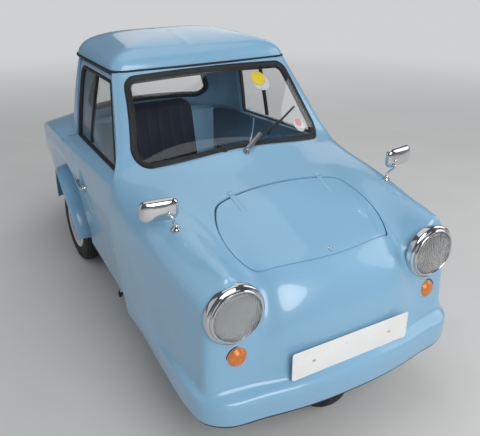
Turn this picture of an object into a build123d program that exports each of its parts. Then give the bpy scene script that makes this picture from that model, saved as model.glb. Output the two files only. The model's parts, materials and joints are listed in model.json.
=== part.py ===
"""Small three wheeled car with a moulded body: one wheel in front, two behind.

Frame, in millimetres: +Z up, the car faces -Y, its right side is -X.
The origin is on the ground, under the middle of the car.
"""
from build123d import *
import os
from math import cos, radians, sin

# Overall places along the car
BUMPER_Y = -1391  # front of the moulded bumper ledge
TAIL_Y = 1400  # end of the tail
GROUND_EDGE_Z = 262  # lower edge of the body shells
WALL = 12  # thickness of the moulded shells
PANEL_GAP = 6  # gap round every opening panel
DOOR_REAR_GAP = 12  # wider, the thick rear edge swings through it
SEAT_GAP = 0.3  # clearance between pieces that rest on each other
SKIN = 0.5  # overlap that lets a cutter break through a face

# Wheels
FRONT_AXLE_Y = -1095
REAR_AXLE_Y = 560
TYRE_R = 230
TYRE_W = 104
RIM_R = 132
RIM_W = 92
REAR_WHEEL_X = 436
HUB_R = 34
AXLE_R = 10
AXLE_CLEARANCE = 0.05

# Front fork and steering
RAKE = 12  # degrees, the head leans back
FORK_LEG_X = 82
FORK_LEG_R = 14
CROWN_UP = 285  # crown height above the axle, along the steering axis
HEAD_R = 24
HEAD_LENGTH = 120
STEM_R = 16

# Greenhouse: width and ends at the belt and at the gutter
BELT_Z = 870
GUTTER_Z = 1228
SCREEN_FOOT_Y = -607
SCREEN_HEAD_Y = -246
SCREEN_FOOT_CORNER = (478, -520)
SCREEN_HEAD_CORNER = (390, -236)
GLASS_SIDE_BELT_X = 524
GLASS_SIDE_TOP_X = 424
BACK_BELT_Y = 610
BACK_TOP_Y = 430
# Rounded rear corner, from the side to the bowed back: at the belt and at the gutter
BACK_CORNER_BELT = [(457, 370), (431, 427), (385, 470)]
BACK_CORNER_TOP = [(424, 250), (390, 356), (300, 421)]
BACK_CORNER_OUT = [(1, 0), (0.84, 0.54), (0.42, 0.9)]  # which way each point faces
PILLAR_WALL = 24

# Doors
DOOR_FRONT_Y = -512
DOOR_REAR_Y = 256
DOOR_BOTTOM_Z = 268
DOOR_TOP_Z = GUTTER_Z - 10
DOOR_RECESS = 12  # the door skin lies this far inside the front lip
DOOR_T = 40

# Lamps, plates and mirrors
LAMP_X = 430
LAMP_Z = 650
LAMP_FACE_Y = -1268
LAMP_RIM_R = 109
LAMP_LENS_R = 88
INDICATOR_Z = 487
INDICATOR_R = 38
PLATE_W = 520
PLATE_H = 111
PLATE_Z = 427
PLATE_T = 4
TAIL_LAMP = (318, 385)
TAIL_LAMP_R = 36
MIRROR_BASE = (481, -942)

OUT = "parts"
os.makedirs(OUT, exist_ok=True)


def save(part, name):
    """Labels a finished piece and writes its file."""
    part.label = name
    export_step(part, f"{OUT}/{name}.step")


# Body forms

# Side profiles of the bonnet, one row for each distance from the middle:
# x, front y, y and z at the lock, top z half way back, top z at the screen
NOSE_ROWS = [
    (-348, -1236, -1148, 718, 824, 904),
    (-220, -1326, -1206, 727, 842, 948),
    (0, -1337, -1209, 733, 848, 966),
    (220, -1326, -1206, 727, 842, 948),
    (348, -1236, -1148, 718, 824, 904),
]
NOSE_REAR_Y = -470
NOSE_MID_Y = -850
NOSE_CHIN_Z = 500
NOSE_ROUND = (35, 75)  # the rounded nose: back from the front, down from the lock

# Sections of a front wing, one row for each place along the car:
# y, inner x, inner z, crest x, crest z, outer x, shoulder z, foot x
WING_ROWS = [
    (-500, 316, 884, 486, 862, 572, 745, 545),
    (-800, 316, 822, 482, 842, 574, 735, 548),
    (-1060, 314, 737, 452, 815, 560, 715, 540),
    (-1200, 312, 692, 432, 788, 541, 690, 528),
    (-1248, 318, 670, 430, 772, 532, 680, 522),
]
WING_NOSE = (20, 14)  # the rounded front edge: further forward, smaller all round

# Sections of the tail, one row for each place along the car:
# y, foot x, hollow x and z, waist x and z, bulge x and z, shoulder x and z, deck z
TAIL_ROWS = [
    (240, 456, 466, 470, 496, 640, 546, 745, 548, 836, 884),
    (560, 452, 462, 470, 492, 634, 541, 738, 542, 828, 880),
    (900, 440, 452, 430, 470, 570, 500, 660, 498, 745, 812),
    (1220, 408, 420, 370, 432, 460, 444, 530, 430, 596, 668),
    (1388, 360, 372, 330, 382, 390, 388, 440, 366, 486, 540),
]


def nose_form(inset):
    """Bonnet and nose: side profiles lofted from side to side."""
    with BuildPart() as form:
        for x, front, lock_y, lock, mid, rear in NOSE_ROWS:
            shrink = (1 if x < 0 else -1 if x > 0 else 0) * inset
            back, down = NOSE_ROUND
            foot = GROUND_EDGE_Z - inset
            with BuildSketch(Plane.YZ.offset(x + shrink)):
                with BuildLine():
                    low = (front + inset, foot)
                    chin = (front + inset, NOSE_CHIN_Z)
                    brow = (front + back + inset, lock - down - inset)
                    top = (lock_y + inset / 2, lock - inset)
                    end = (NOSE_REAR_Y, rear - inset)
                    Line(low, chin)
                    ThreePointArc(chin, brow, top)
                    ThreePointArc(top, (NOSE_MID_Y, mid - inset), end)
                    Line(end, (NOSE_REAR_Y, foot))
                    Line((NOSE_REAR_Y, foot), low)
                make_face()
        loft()
    return form.part


def wing_section(row, inset, shrink, side):
    """Closed outline of one front wing section."""
    y, xi, zi, xk, zk, xo, zs, xf = row
    step = inset + shrink
    foot = GROUND_EDGE_Z - inset
    inner_low = (side * (xi + step), foot)
    inner_top = (side * (xi + step), zi - step)
    crest = (side * xk, zk - step)
    outer = (side * (xo - step), zs - step)
    outer_low = (side * (xf - step), foot)
    Line(inner_low, inner_top)
    ThreePointArc(inner_top, crest, outer)
    Line(outer, outer_low)
    Line(outer_low, inner_low)


def wing_form(side, inset):
    """Front wing from the door to the lamp, with a rounded front edge."""
    with BuildPart() as form:
        for row in WING_ROWS:
            with BuildSketch(Plane.XZ.offset(-row[0])):
                with BuildLine():
                    wing_section(row, inset, 0, side)
                make_face()
        loft()
        if not inset:
            last = WING_ROWS[-1]
            forward, smaller = WING_NOSE
            for ahead, shrink in ((0, 0), (forward * 0.6, smaller * 0.3), (forward, smaller)):
                with BuildSketch(Plane.XZ.offset(-last[0] + ahead)):
                    with BuildLine():
                        wing_section(last, inset, shrink, side)
                    make_face()
            loft(ruled=True)
    return form.part


def ledge_outline(inset):
    """Plan of the bumper ledge that runs round the nose."""
    half, corner_y = 500 - inset, -1341 + inset
    side_x, side_y = 569 - inset, -1190
    tail_x, tail_y = 545 - inset, -760
    bend = (half + 0.80 * (side_x - half), corner_y + 0.36 * (side_y - corner_y))
    right = [(-half, corner_y), (-bend[0], bend[1]), (-side_x, side_y)]
    left = [(-x, y) for x, y in right]
    ThreePointArc(right[0], (0, BUMPER_Y + inset), left[0])
    ThreePointArc(left[0], left[1], left[2])
    Line(left[2], (tail_x, tail_y))
    Line((tail_x, tail_y), (-tail_x, tail_y))
    Line((-tail_x, tail_y), right[2])
    ThreePointArc(right[2], right[1], right[0])


LEDGE_TOP_Z = 332
LEDGE_ROOT_Z = 366
LEDGE_DEPTH = 40


def ledge_form(inset):
    """Moulded bumper: an upright face and a sloping top."""
    with BuildPart() as form:
        with BuildSketch(Plane.XY.offset(GROUND_EDGE_Z - inset)):
            with BuildLine():
                ledge_outline(inset)
            make_face()
        extrude(amount=LEDGE_TOP_Z - GROUND_EDGE_Z)
        for level, step in ((LEDGE_TOP_Z, 0), (LEDGE_ROOT_Z, LEDGE_DEPTH)):
            with BuildSketch(Plane.XY.offset(level - inset)):
                with BuildLine():
                    ledge_outline(inset + step)
                make_face()
        loft(ruled=True)
    return form.part


def greenhouse_outline(share, inset):
    """Plan of the glass house, at a share of the height from belt to gutter."""

    def between(low, high):
        return low + share * (high - low)

    front = between(SCREEN_FOOT_Y, SCREEN_HEAD_Y) + inset
    corner_x = between(SCREEN_FOOT_CORNER[0], SCREEN_HEAD_CORNER[0]) - inset * 0.6
    corner_y = between(SCREEN_FOOT_CORNER[1], SCREEN_HEAD_CORNER[1]) + inset
    side = between(GLASS_SIDE_BELT_X, GLASS_SIDE_TOP_X) - inset
    pillar_y = corner_y + 60
    back = between(BACK_BELT_Y, BACK_TOP_Y) - inset
    corner = []
    for low, high, out in zip(BACK_CORNER_BELT, BACK_CORNER_TOP, BACK_CORNER_OUT):
        corner.append((between(low[0], high[0]) - out[0] * inset, between(low[1], high[1]) - out[1] * inset))
    far = [(-x, y) for x, y in corner]
    turn = (corner_x + 0.78 * (side - corner_x), corner_y + 0.30 * (pillar_y - corner_y))
    ThreePointArc((-corner_x, corner_y), (0, front), (corner_x, corner_y))
    ThreePointArc((corner_x, corner_y), turn, (side, pillar_y))
    Line((side, pillar_y), corner[0])
    ThreePointArc(corner[0], corner[1], corner[2])
    ThreePointArc(corner[2], (0, back), far[2])
    ThreePointArc(far[2], far[1], far[0])
    Line(far[0], (-side, pillar_y))
    ThreePointArc((-side, pillar_y), (-turn[0], turn[1]), (-corner_x, corner_y))


GREENHOUSE_FOOT_Z = 780  # it runs down inside the body and is joined there


def greenhouse_form(inset, top_z=GUTTER_Z):
    """Solid of the glass house, leaning in towards the gutter."""
    with BuildPart() as form:
        for level in (GREENHOUSE_FOOT_Z, top_z):
            share = (level - BELT_Z) / (GUTTER_Z - BELT_Z)
            with BuildSketch(Plane.XY.offset(level)):
                with BuildLine():
                    greenhouse_outline(share, inset)
                make_face()
        loft(ruled=True)
    return form.part


def side_line(row, side, inset, foot_z):
    """One flank, foot to shoulder: a hollow lower side and a bulging waist."""
    foot, hx, hz, wx, wz, bx, bz, sx, sz = row
    points = [(foot, foot_z), (hx, hz), (wx, wz), (bx, bz), (sx, sz - inset)]
    return [(side * (x - inset), z) for x, z in points]


def tail_form(inset):
    """Rear body: sections lofted from the doors to the tail."""
    with BuildPart() as form:
        for i, row in enumerate(TAIL_ROWS):
            end = i == len(TAIL_ROWS) - 1
            place = row[0] - inset if end else row[0]
            low = GROUND_EDGE_Z - inset
            right = side_line(row[1:10], 1, inset, low)
            left = side_line(row[1:10], -1, inset, low)
            with BuildSketch(Plane.XZ.offset(-place)):
                with BuildLine():
                    Line(left[0], right[0])
                    ThreePointArc(right[0], right[1], right[2])
                    ThreePointArc(right[2], right[3], right[4])
                    ThreePointArc(right[4], (0, row[10] - inset), left[4])
                    ThreePointArc(left[4], left[3], left[2])
                    ThreePointArc(left[2], left[1], left[0])
                make_face()
        loft()
    return form.part


# Roof cap: y, height of the crown over its edge, half width
ROOF_ROWS = [
    (-248, 10, 410),
    (-222, 52, 428),
    (-150, 82, 434),
    (-20, 100, 434),
    (130, 103, 430),
    (270, 84, 420),
    (380, 50, 400),
    (440, 10, 356),
]
GUTTER_T = 10  # rubber strip between the glass house and the roof cap
ROOF_EDGE_Z = GUTTER_Z + GUTTER_T
ROOF_SHOULDER = 78  # width of the rounded side of the cap
ROOF_SHOULDER_RISE = 0.66  # share of the crown's height where the side ends


def roof_form(inset):
    """Domed cap over the glass house."""
    with BuildPart() as form:
        for y, height, wide in ROOF_ROWS:
            half = wide - inset
            edge = ROOF_EDGE_Z - 3 * inset
            rise = ROOF_EDGE_Z + height - inset - edge
            flat = half - ROOF_SHOULDER
            shoulder = edge + rise * ROOF_SHOULDER_RISE
            bulge = (half - ROOF_SHOULDER * 0.34, edge + rise * ROOF_SHOULDER_RISE * 0.66)
            with BuildSketch(Plane.XZ.offset(-y)):
                with BuildLine():
                    ThreePointArc((-half, edge), (-bulge[0], bulge[1]), (-flat, shoulder))
                    ThreePointArc((-flat, shoulder), (0, edge + rise), (flat, shoulder))
                    ThreePointArc((flat, shoulder), bulge, (half, edge))
                    Line((half, edge), (half, edge - 40))
                    Line((half, edge - 40), (-half, edge - 40))
                    Line((-half, edge - 40), (-half, edge))
                make_face()
        loft()
    return form.part


def plan_prism(inset, low_z, high_z):
    """Upright prism on the gutter's plan."""
    with BuildPart() as form:
        with BuildSketch(Plane.XY.offset(low_z)):
            with BuildLine():
                greenhouse_outline(1, inset)
            make_face()
        extrude(amount=high_z - low_z)
    return form.part


def side_prism(points, low_x=-700, high_x=700):
    """Prism across the car on a side view polygon of (y, z) points."""
    with BuildPart() as form:
        with BuildSketch(Plane.YZ.offset(low_x)):
            with BuildLine():
                Polyline(*points, close=True)
            make_face()
        extrude(amount=high_x - low_x)
    return form.part


def window_prism(half_low, low_z, half_high, high_z, arch, radius, from_y, to_y, inset=0):
    """Prism along the car on a front view trapezium with rounded corners and an arched foot."""
    lean = (half_low - half_high) / (high_z - low_z)
    low = low_z + inset
    high = high_z - inset
    wide_low = half_low - lean * inset - inset
    wide_high = half_high + lean * inset - inset
    with BuildPart() as form:
        with BuildSketch(Plane.XZ.offset(-from_y)) as face:
            with BuildLine():
                ThreePointArc((-wide_low, low), (0, low + arch), (wide_low, low))
                Polyline((wide_low, low), (wide_high, high), (-wide_high, high), (-wide_low, low))
            make_face()
            fillet(face.vertices(), radius - inset)
        extrude(amount=-(to_y - from_y))
    return form.part


def rounded_side_prism(points, radius, low_x, high_x):
    """Prism across the car on a side view polygon with rounded corners."""
    with BuildPart() as form:
        with BuildSketch(Plane.YZ.offset(low_x)) as face:
            with BuildLine():
                Polyline(*points, close=True)
            make_face()
            fillet(face.vertices(), radius)
        extrude(amount=high_x - low_x)
    return form.part


def lid_prism(rows, inset, low_z, high_z):
    """Upright prism on a plan outline, symmetric, from half width rows."""
    (y0, x0), (y1, x1), (y2, x2) = rows
    with BuildPart() as form:
        with BuildSketch(Plane.XY.offset(low_z)):
            with BuildLine():
                rear, mid, front = (x0 - inset, y0 - inset), (x1 - inset, y1), (x2 - inset, y2 + inset)
                ThreePointArc(rear, mid, front)
                ThreePointArc(front, (0, y2 - LID_BOW + inset), (-front[0], front[1]))
                ThreePointArc((-front[0], front[1]), (-mid[0], mid[1]), (-rear[0], rear[1]))
                ThreePointArc((-rear[0], rear[1]), (0, y0 + LID_BOW - inset), rear)
            make_face()
        extrude(amount=high_z - low_z)
    return form.part


LID_BOW = 42
BONNET_ROWS = [(-862, 286), (-1040, 338), (-1182, 290)]
ENGINE_LID_ROWS = [(1268, 300), (1000, 366), (760, 372)]


def rod(start, end, radius, bore=0):
    """Round bar or tube between two points."""
    a = Vector(*start)
    b = Vector(*end)
    with BuildPart() as form:
        with BuildSketch(Plane(origin=a, z_dir=b - a)):
            Circle(radius)
            if bore:
                Circle(bore, mode=Mode.SUBTRACT)
        extrude(amount=(b - a).length)
    return form.part


def block(x, y, z):
    """Box between two limits on each axis."""
    with BuildPart() as form:
        with BuildSketch(Plane.XY.offset(z[0])):
            with Locations(((x[0] + x[1]) / 2, (y[0] + y[1]) / 2)):
                Rectangle(x[1] - x[0], y[1] - y[0])
        extrude(amount=z[1] - z[0])
    return form.part


def joined(parts):
    """One piece from several that overlap."""
    with BuildPart() as form:
        for part in parts:
            add(part)
    return form.part


def cut(base, cutters):
    """A piece less its cutters."""
    with BuildPart() as form:
        add(base)
        for cutter in cutters:
            add(cutter, mode=Mode.SUBTRACT)
    return form.part


def common(base, keeper):
    """The part of a piece that lies inside another."""
    with BuildPart() as form:
        add(base)
        add(keeper, mode=Mode.INTERSECT)
    return form.part


def mirrored(part):
    """The same piece on the car's other side."""
    with BuildPart() as form:
        add(part)
        mirror(about=Plane.YZ, mode=Mode.REPLACE)
    return form.part


# Front shell: nose, wings, bumper ledge and windscreen frame
def front_body(inset):
    """Nose, wings and ledge in one solid."""
    return joined([nose_form(inset), wing_form(1, inset), wing_form(-1, inset), ledge_form(inset)])


house_out = greenhouse_form(0)
house_in = greenhouse_form(PILLAR_WALL)

# Rear edge of the windscreen pillar, side view
PILLAR_LOW = (-484, 888)
PILLAR_HIGH = (-212, GUTTER_Z)
FRONT_KEEP = [
    (-1500, 100),
    (DOOR_FRONT_Y, 100),
    (DOOR_FRONT_Y, BELT_Z + PANEL_GAP),
    PILLAR_LOW,
    PILLAR_HIGH,
    (-1500, GUTTER_Z),
]
SCREEN = (470, 900, 404, 1216, 50)  # half width and height at the foot and at the head, arch of the foot
SCREEN_CORNER = 62
SEAL_W = 22

bonnet_slot = lid_prism(BONNET_ROWS, 0, 600, 1000)
screen_slot = window_prism(*SCREEN, SCREEN_CORNER, -900, -60)
front_hollow = joined([front_body(WALL), cut(house_in, [nose_form(0)])])
front_shell = common(joined([front_body(0), house_out]), side_prism(FRONT_KEEP))
front_shell = cut(front_shell, [front_hollow, bonnet_slot, screen_slot])
save(front_shell, "front_shell")

bonnet_keep = lid_prism(BONNET_ROWS, PANEL_GAP, 600, 1000)
bonnet_skin = common(cut(nose_form(0), [nose_form(WALL)]), bonnet_keep)
STRAP_X = 200
STRAP_Y = (-938, -826)
STRAP_T = 7
strap_band = cut(nose_form(-STRAP_T), [nose_form(-SEAT_GAP)])
strap_root = cut(nose_form(-STRAP_T), [nose_form(WALL / 2)])
straps = []
for x in (-STRAP_X, STRAP_X):
    place = block((x - 14, x + 14), STRAP_Y, (700, 1000))
    straps.append(common(strap_band, place))
    straps.append(common(common(strap_root, place), bonnet_keep))
save(joined([bonnet_skin] + straps), "bonnet_lid")

# Rear shell: tail and rear pillars
REAR_KEEP = [
    (DOOR_REAR_Y, 100),
    (1600, 100),
    (1600, GUTTER_Z),
    (DOOR_REAR_Y, GUTTER_Z),
]
REAR_WINDOW = (384, 905, 306, 1120, 1)
REAR_CORNER = 60
WELL_R = 348
GUARD_X = (362, 545)
engine_slot = lid_prism(ENGINE_LID_ROWS, 0, 480, 1000)
rear_slot = window_prism(*REAR_WINDOW, REAR_CORNER, 330, 760)
wells = []
for side in (-1, 1):
    wells.append(rod((side * (GUARD_X[0] - 4), REAR_AXLE_Y, TYRE_R), (side * 640, REAR_AXLE_Y, TYRE_R), WELL_R))
rear_hollow = joined([tail_form(WALL), house_in])
rear_body = joined([tail_form(0), house_out])
rear_shell = common(rear_body, side_prism(REAR_KEEP))
rear_shell = cut(rear_shell, [rear_hollow, engine_slot, rear_slot] + wells)
save(rear_shell, "rear_shell")

engine_keep = lid_prism(ENGINE_LID_ROWS, PANEL_GAP, 480, 1000)
engine_skin = common(cut(tail_form(0), [tail_form(WALL)]), engine_keep)
ENGINE_STRAP_Y = (724, 812)
engine_band = cut(tail_form(-STRAP_T), [tail_form(-SEAT_GAP)])
engine_root = cut(tail_form(-STRAP_T), [tail_form(WALL / 2)])
engine_straps = []
for x in (-STRAP_X, STRAP_X):
    place = block((x - 14, x + 14), ENGINE_STRAP_Y, (700, 1000))
    engine_straps.append(common(engine_band, place))
    engine_straps.append(common(common(engine_root, place), engine_keep))
engine_skin = joined([engine_skin] + engine_straps)
LOUVRE = (190, 9)  # length and width of one slot
LOUVRE_ROWS = 7
slots = []
for side in (-1, 1):
    for i in range(LOUVRE_ROWS):
        y = 930 + i * 34
        x = side * 130
        slots.append(block((x - LOUVRE[0] / 2, x + LOUVRE[0] / 2), (y - LOUVRE[1] / 2, y + LOUVRE[1] / 2), (400, 1000)))
save(cut(engine_skin, slots), "engine_lid")

# Mudguards: a band round each rear wheel with an inner side plate, narrower towards the tail
GUARD_T = 8
GUARD_LOW_Z = 282
GUARD_PLAN = [(GUARD_X[0], 150), (GUARD_X[1], 150), (GUARD_X[1], 585), (488, 930), (GUARD_X[0], 930)]
guards = []
for side in (-1, 1):
    inner, outer = side * GUARD_X[0], side * GUARD_X[1]
    centre = (REAR_AXLE_Y, TYRE_R)
    band = rod((inner, *centre), (outer, *centre), WELL_R - SEAT_GAP, WELL_R - SEAT_GAP - GUARD_T)
    plate = rod((inner, *centre), (inner + side * GUARD_T, *centre), WELL_R - SEAT_GAP)
    with BuildPart() as keep:
        with BuildSketch(Plane.XY.offset(GUARD_LOW_Z)):
            with BuildLine():
                Polyline(*[(side * x, y) for x, y in GUARD_PLAN], close=True)
            make_face()
        extrude(amount=400)
    with BuildPart() as flap:
        add(block((inner - 20, inner + 20), (REAR_AXLE_Y - 320, REAR_AXLE_Y + 320), (TYRE_R - 20, GUARD_LOW_Z + 1)))
        add(plate, mode=Mode.INTERSECT)
    slot = block((-700, 700), (REAR_AXLE_Y - 40, REAR_AXLE_Y + 40), (TYRE_R - 60, TYRE_R + 60))
    guards.append(cut(joined([common(joined([band, plate]), keep.part), flap.part]), [slot]))
save(joined(guards), "mudguards")

# Roof cap and the rubber gutter strip under it
roof_plan = plan_prism(-6, ROOF_EDGE_Z - 60, 1500)
roof_edge = plan_prism(-6, 1100, ROOF_EDGE_Z + SEAT_GAP)
roof = cut(common(roof_form(0), roof_plan), [roof_form(WALL), roof_edge])
save(roof, "roof")

gutter = cut(plan_prism(-11, GUTTER_Z + SEAT_GAP, ROOF_EDGE_Z), [plan_prism(12, 1200, 1300)])
save(gutter, "roof_gutter")

# Glass and its rubber seals
GLASS_IN = (7, 12)  # depth of the glass behind the outer face


def seal_ring(slot_args, corner, from_y, to_y):
    """Rubber ring that fills the edge of a window opening."""
    band = cut(greenhouse_form(-6), [greenhouse_form(20)])
    outer = window_prism(*slot_args, corner, from_y, to_y, SEAT_GAP)
    inner = window_prism(*slot_args, corner, from_y, to_y, SEAL_W)
    return cut(common(band, outer), [inner])


def pane(slot_args, corner, from_y, to_y):
    """Curved pane inside its seal."""
    sheet = cut(greenhouse_form(GLASS_IN[0]), [greenhouse_form(GLASS_IN[1])])
    return common(sheet, window_prism(*slot_args, corner, from_y, to_y, SEAL_W + SEAT_GAP))


save(pane(SCREEN, SCREEN_CORNER, -900, -60), "windscreen_glass")
save(seal_ring(SCREEN, SCREEN_CORNER, -900, -60), "windscreen_seal")
save(pane(REAR_WINDOW, REAR_CORNER, 330, 760), "rear_window_glass")
save(seal_ring(REAR_WINDOW, REAR_CORNER, 330, 760), "rear_window_seal")

# Doors: a lower panel lofted front to rear and a leaning window frame
DOOR_ENDS = [
    (DOOR_FRONT_Y + PANEL_GAP, 510, 528, 440, 542, 620, 556, 745, 548, 836),
    (DOOR_REAR_Y - DOOR_REAR_GAP, 456, 466, 470, 496, 640, 545, 745, 548, 836),
]
DOOR_BELT_X = (518, 461)  # top of the lower door, front and rear
DOOR_WHEEL_CUT = 378  # radius that clears the mudguard
DOOR_WINDOW = [(-440, 874), (-206, 1198), (222, 1198), (222, 874)]
DOOR_WINDOW_R = 22
LENS = (18, 664, 150, 24)  # recess round the handle: y, z, half height, half width
LENS_DEPTH = 14


def door_section(row, belt_x, inset):
    """Closed section of the lower door, outer face moved in by an inset."""
    right = side_line(row[1:], 1, inset, DOOR_BOTTOM_Z)
    belt = (belt_x - inset, BELT_Z)
    inner_top = (belt_x - DOOR_T, BELT_Z)
    inner_low = (min(row[1], row[2]) - DOOR_T, DOOR_BOTTOM_Z)
    ThreePointArc(right[0], right[1], right[2])
    ThreePointArc(right[2], right[3], right[4])
    Line(right[4], belt)
    Polyline(belt, inner_top, inner_low, right[0])


with BuildPart() as door_lower:
    for row, belt_x in zip(DOOR_ENDS, DOOR_BELT_X):
        with BuildSketch(Plane.XZ.offset(-row[0])):
            with BuildLine():
                door_section(row, belt_x, 0)
            make_face()
    loft(ruled=True)

door_band = cut(greenhouse_form(2), [greenhouse_form(30)])
door_side = block((300, 700), (-700, 700), (100, 1400))
door_upper_keep = side_prism([
    (PILLAR_LOW[0] + PANEL_GAP + 3, BELT_Z - 20),
    (PILLAR_LOW[0] + PANEL_GAP + 3, PILLAR_LOW[1]),
    (PILLAR_HIGH[0] + PANEL_GAP + 3, DOOR_TOP_Z),
    (DOOR_REAR_Y - DOOR_REAR_GAP, DOOR_TOP_Z),
    (DOOR_REAR_Y - DOOR_REAR_GAP, BELT_Z - 20),
])
door_frame = common(common(door_band, door_side), door_upper_keep)
door_window = rounded_side_prism(DOOR_WINDOW, DOOR_WINDOW_R, 300, 700)
wheel_cut = rod((300, REAR_AXLE_Y, TYRE_R), (640, REAR_AXLE_Y, TYRE_R), DOOR_WHEEL_CUT)
with BuildPart() as lens:
    with BuildSketch(Plane.YZ.offset(DOOR_BELT_X[0] - LENS_DEPTH)):
        with BuildLine():
            y, z, tall, wide = LENS
            ThreePointArc((y, z - tall), (y - wide, z), (y, z + tall))
            ThreePointArc((y, z + tall), (y + wide, z), (y, z - tall))
        make_face()
    extrude(amount=90)

# Outside hinges: a pin between two plates on the shell, a knuckle on the door
DOOR_AXIS = (559, -503)
HINGE_LEVELS = (560, 780)
HINGE_PIN_R = 4
KNUCKLE_R = 7
KNUCKLE_H = 34
plates = []
knuckles = []
for level in HINGE_LEVELS:
    top = level + KNUCKLE_H / 2
    low = level - KNUCKLE_H / 2
    knuckles.append(rod((*DOOR_AXIS, low), (*DOOR_AXIS, top), KNUCKLE_R))
    knuckles.append(block((522, DOOR_AXIS[0]), (DOOR_AXIS[1] - 3, DOOR_AXIS[1] + 4), (low, top)))
    for z in (low - SEAT_GAP - 6, top + SEAT_GAP):
        plates.append(block((549, 570), (DOOR_FRONT_Y + SEAT_GAP, -495), (z, z + 6)))
    plates.append(rod((*DOOR_AXIS, low - 6), (*DOOR_AXIS, top + 6), HINGE_PIN_R))
hinge_bore = rod((*DOOR_AXIS, 500), (*DOOR_AXIS, 860), HINGE_PIN_R + AXLE_CLEARANCE)
door = cut(joined([door_lower.part, door_frame]), [door_window, wheel_cut, lens.part])
hinge_gaps = []
for level in HINGE_LEVELS:
    for z in (level - KNUCKLE_H / 2 - 8, level + KNUCKLE_H / 2):
        hinge_gaps.append(block((544, 600), (-520, -488), (z, z + 8)))
door = cut(joined([cut(door, hinge_gaps)] + knuckles), [hinge_bore])
save(door, "door_left")
save(mirrored(door), "door_right")
hinge_set = joined(plates)
save(joined([hinge_set, mirrored(hinge_set)]), "door_hinges")

glass_band = cut(greenhouse_form(12), [greenhouse_form(16)])
sill, head, stile = DOOR_WINDOW[0][1] + SEAT_GAP, DOOR_WINDOW[1][1] - SEAT_GAP, DOOR_WINDOW[2][0] - SEAT_GAP
glass_frame = [(DOOR_WINDOW[0][0] + 1, sill), (DOOR_WINDOW[1][0] + 1, head), (stile, head), (stile, sill)]
door_glass = common(glass_band, rounded_side_prism(glass_frame, DOOR_WINDOW_R, 300, 700))
save(door_glass, "door_glass_left")
save(mirrored(door_glass), "door_glass_right")

HANDLE = (-28, 672)  # pivot of the outside handle, y and z
HANDLE_X = 562
handle = joined([
    rod((HANDLE_X - 60, *HANDLE), (HANDLE_X + 7, *HANDLE), 9),
    rod((HANDLE_X, *HANDLE), (HANDLE_X - 6, HANDLE[0] + 104, HANDLE[1] + 2), 7),
])
with BuildPart() as door_solid:
    for row, belt_x in zip(DOOR_ENDS, DOOR_BELT_X):
        with BuildSketch(Plane.XZ.offset(-row[0])):
            with BuildLine():
                door_section(row, belt_x, -SEAT_GAP)
            make_face()
    loft(ruled=True)
handle = cut(handle, [door_solid.part])
save(handle, "door_handle_left")
save(mirrored(handle), "door_handle_right")

# Rubber edging under the bumper ledge, up to the toe board
TOE_Y = -806
with BuildPart() as edging:
    with BuildSketch(Plane.XY.offset(GROUND_EDGE_Z - SEAT_GAP - 10)):
        with BuildLine():
            ledge_outline(-1)
        make_face()
    extrude(amount=10)
with BuildPart() as edging_core:
    with BuildSketch(Plane.XY.offset(GROUND_EDGE_Z - 40)):
        with BuildLine():
            ledge_outline(WALL)
        make_face()
    extrude(amount=60)
edging_end = block((-700, 700), (TOE_Y - 6, -700), (200, 300))
save(cut(edging.part, [edging_core.part, edging_end]), "edge_strip")

# Floor, toe board, rear bulkhead and shelf
FLOOR_T = 6
FLOOR_Z = GROUND_EDGE_Z - SEAT_GAP - FLOOR_T
FLOOR_X = 470
BULKHEAD_Y = 400
SHELF_Z = 846
SHELF_X = 370  # half width, clear of the tail's shoulders
BOX_X = GUARD_X[0] - SEAT_GAP  # half width between the mudguards
LINK_SLOT = ((-150, -60), (400, 560))
FLOOR_PLAN = [(548, TOE_Y), (548, -516), (508, -500), (464, 120), (410, 150), (410, 180)]
with BuildPart() as floor_sheet:
    with BuildSketch(Plane.XY.offset(FLOOR_Z)):
        with BuildLine():
            Polyline(*FLOOR_PLAN, *[(-x, y) for x, y in reversed(FLOOR_PLAN)], close=True)
        make_face()
    extrude(amount=FLOOR_T)
floor = joined([
    floor_sheet.part,
    block((-BOX_X, BOX_X), (170, BULKHEAD_Y), (FLOOR_Z, FLOOR_Z + FLOOR_T)),
    block((-FLOOR_X, FLOOR_X), (TOE_Y, TOE_Y + FLOOR_T), (FLOOR_Z, 600)),
    block((-BOX_X, BOX_X), (BULKHEAD_Y, BULKHEAD_Y + FLOOR_T), (FLOOR_Z, SHELF_Z)),
    block((-SHELF_X, SHELF_X), (BULKHEAD_Y, 520), (SHELF_Z - FLOOR_T, SHELF_Z)),
])
link_slot = block(LINK_SLOT[0], (TOE_Y - 40, TOE_Y + 40), LINK_SLOT[1])
save(cut(floor, [link_slot]), "floor_pan")

# Chassis: two rails, cross members, and a neck up to the steering head
RAIL_X = 250
RAIL = (50, 36)
RAIL_Z = FLOOR_Z - SEAT_GAP - RAIL[1]
JACK_Y = -300
JACK_PAD = (60, 8)  # lifting pad under each rail: width and thickness
LEAN = (0, sin(radians(RAKE)), cos(radians(RAKE)))


def along(base, distance):
    """Point on a line parallel to the steering axis."""
    return tuple(base[i] + LEAN[i] * distance for i in range(3))


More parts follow.
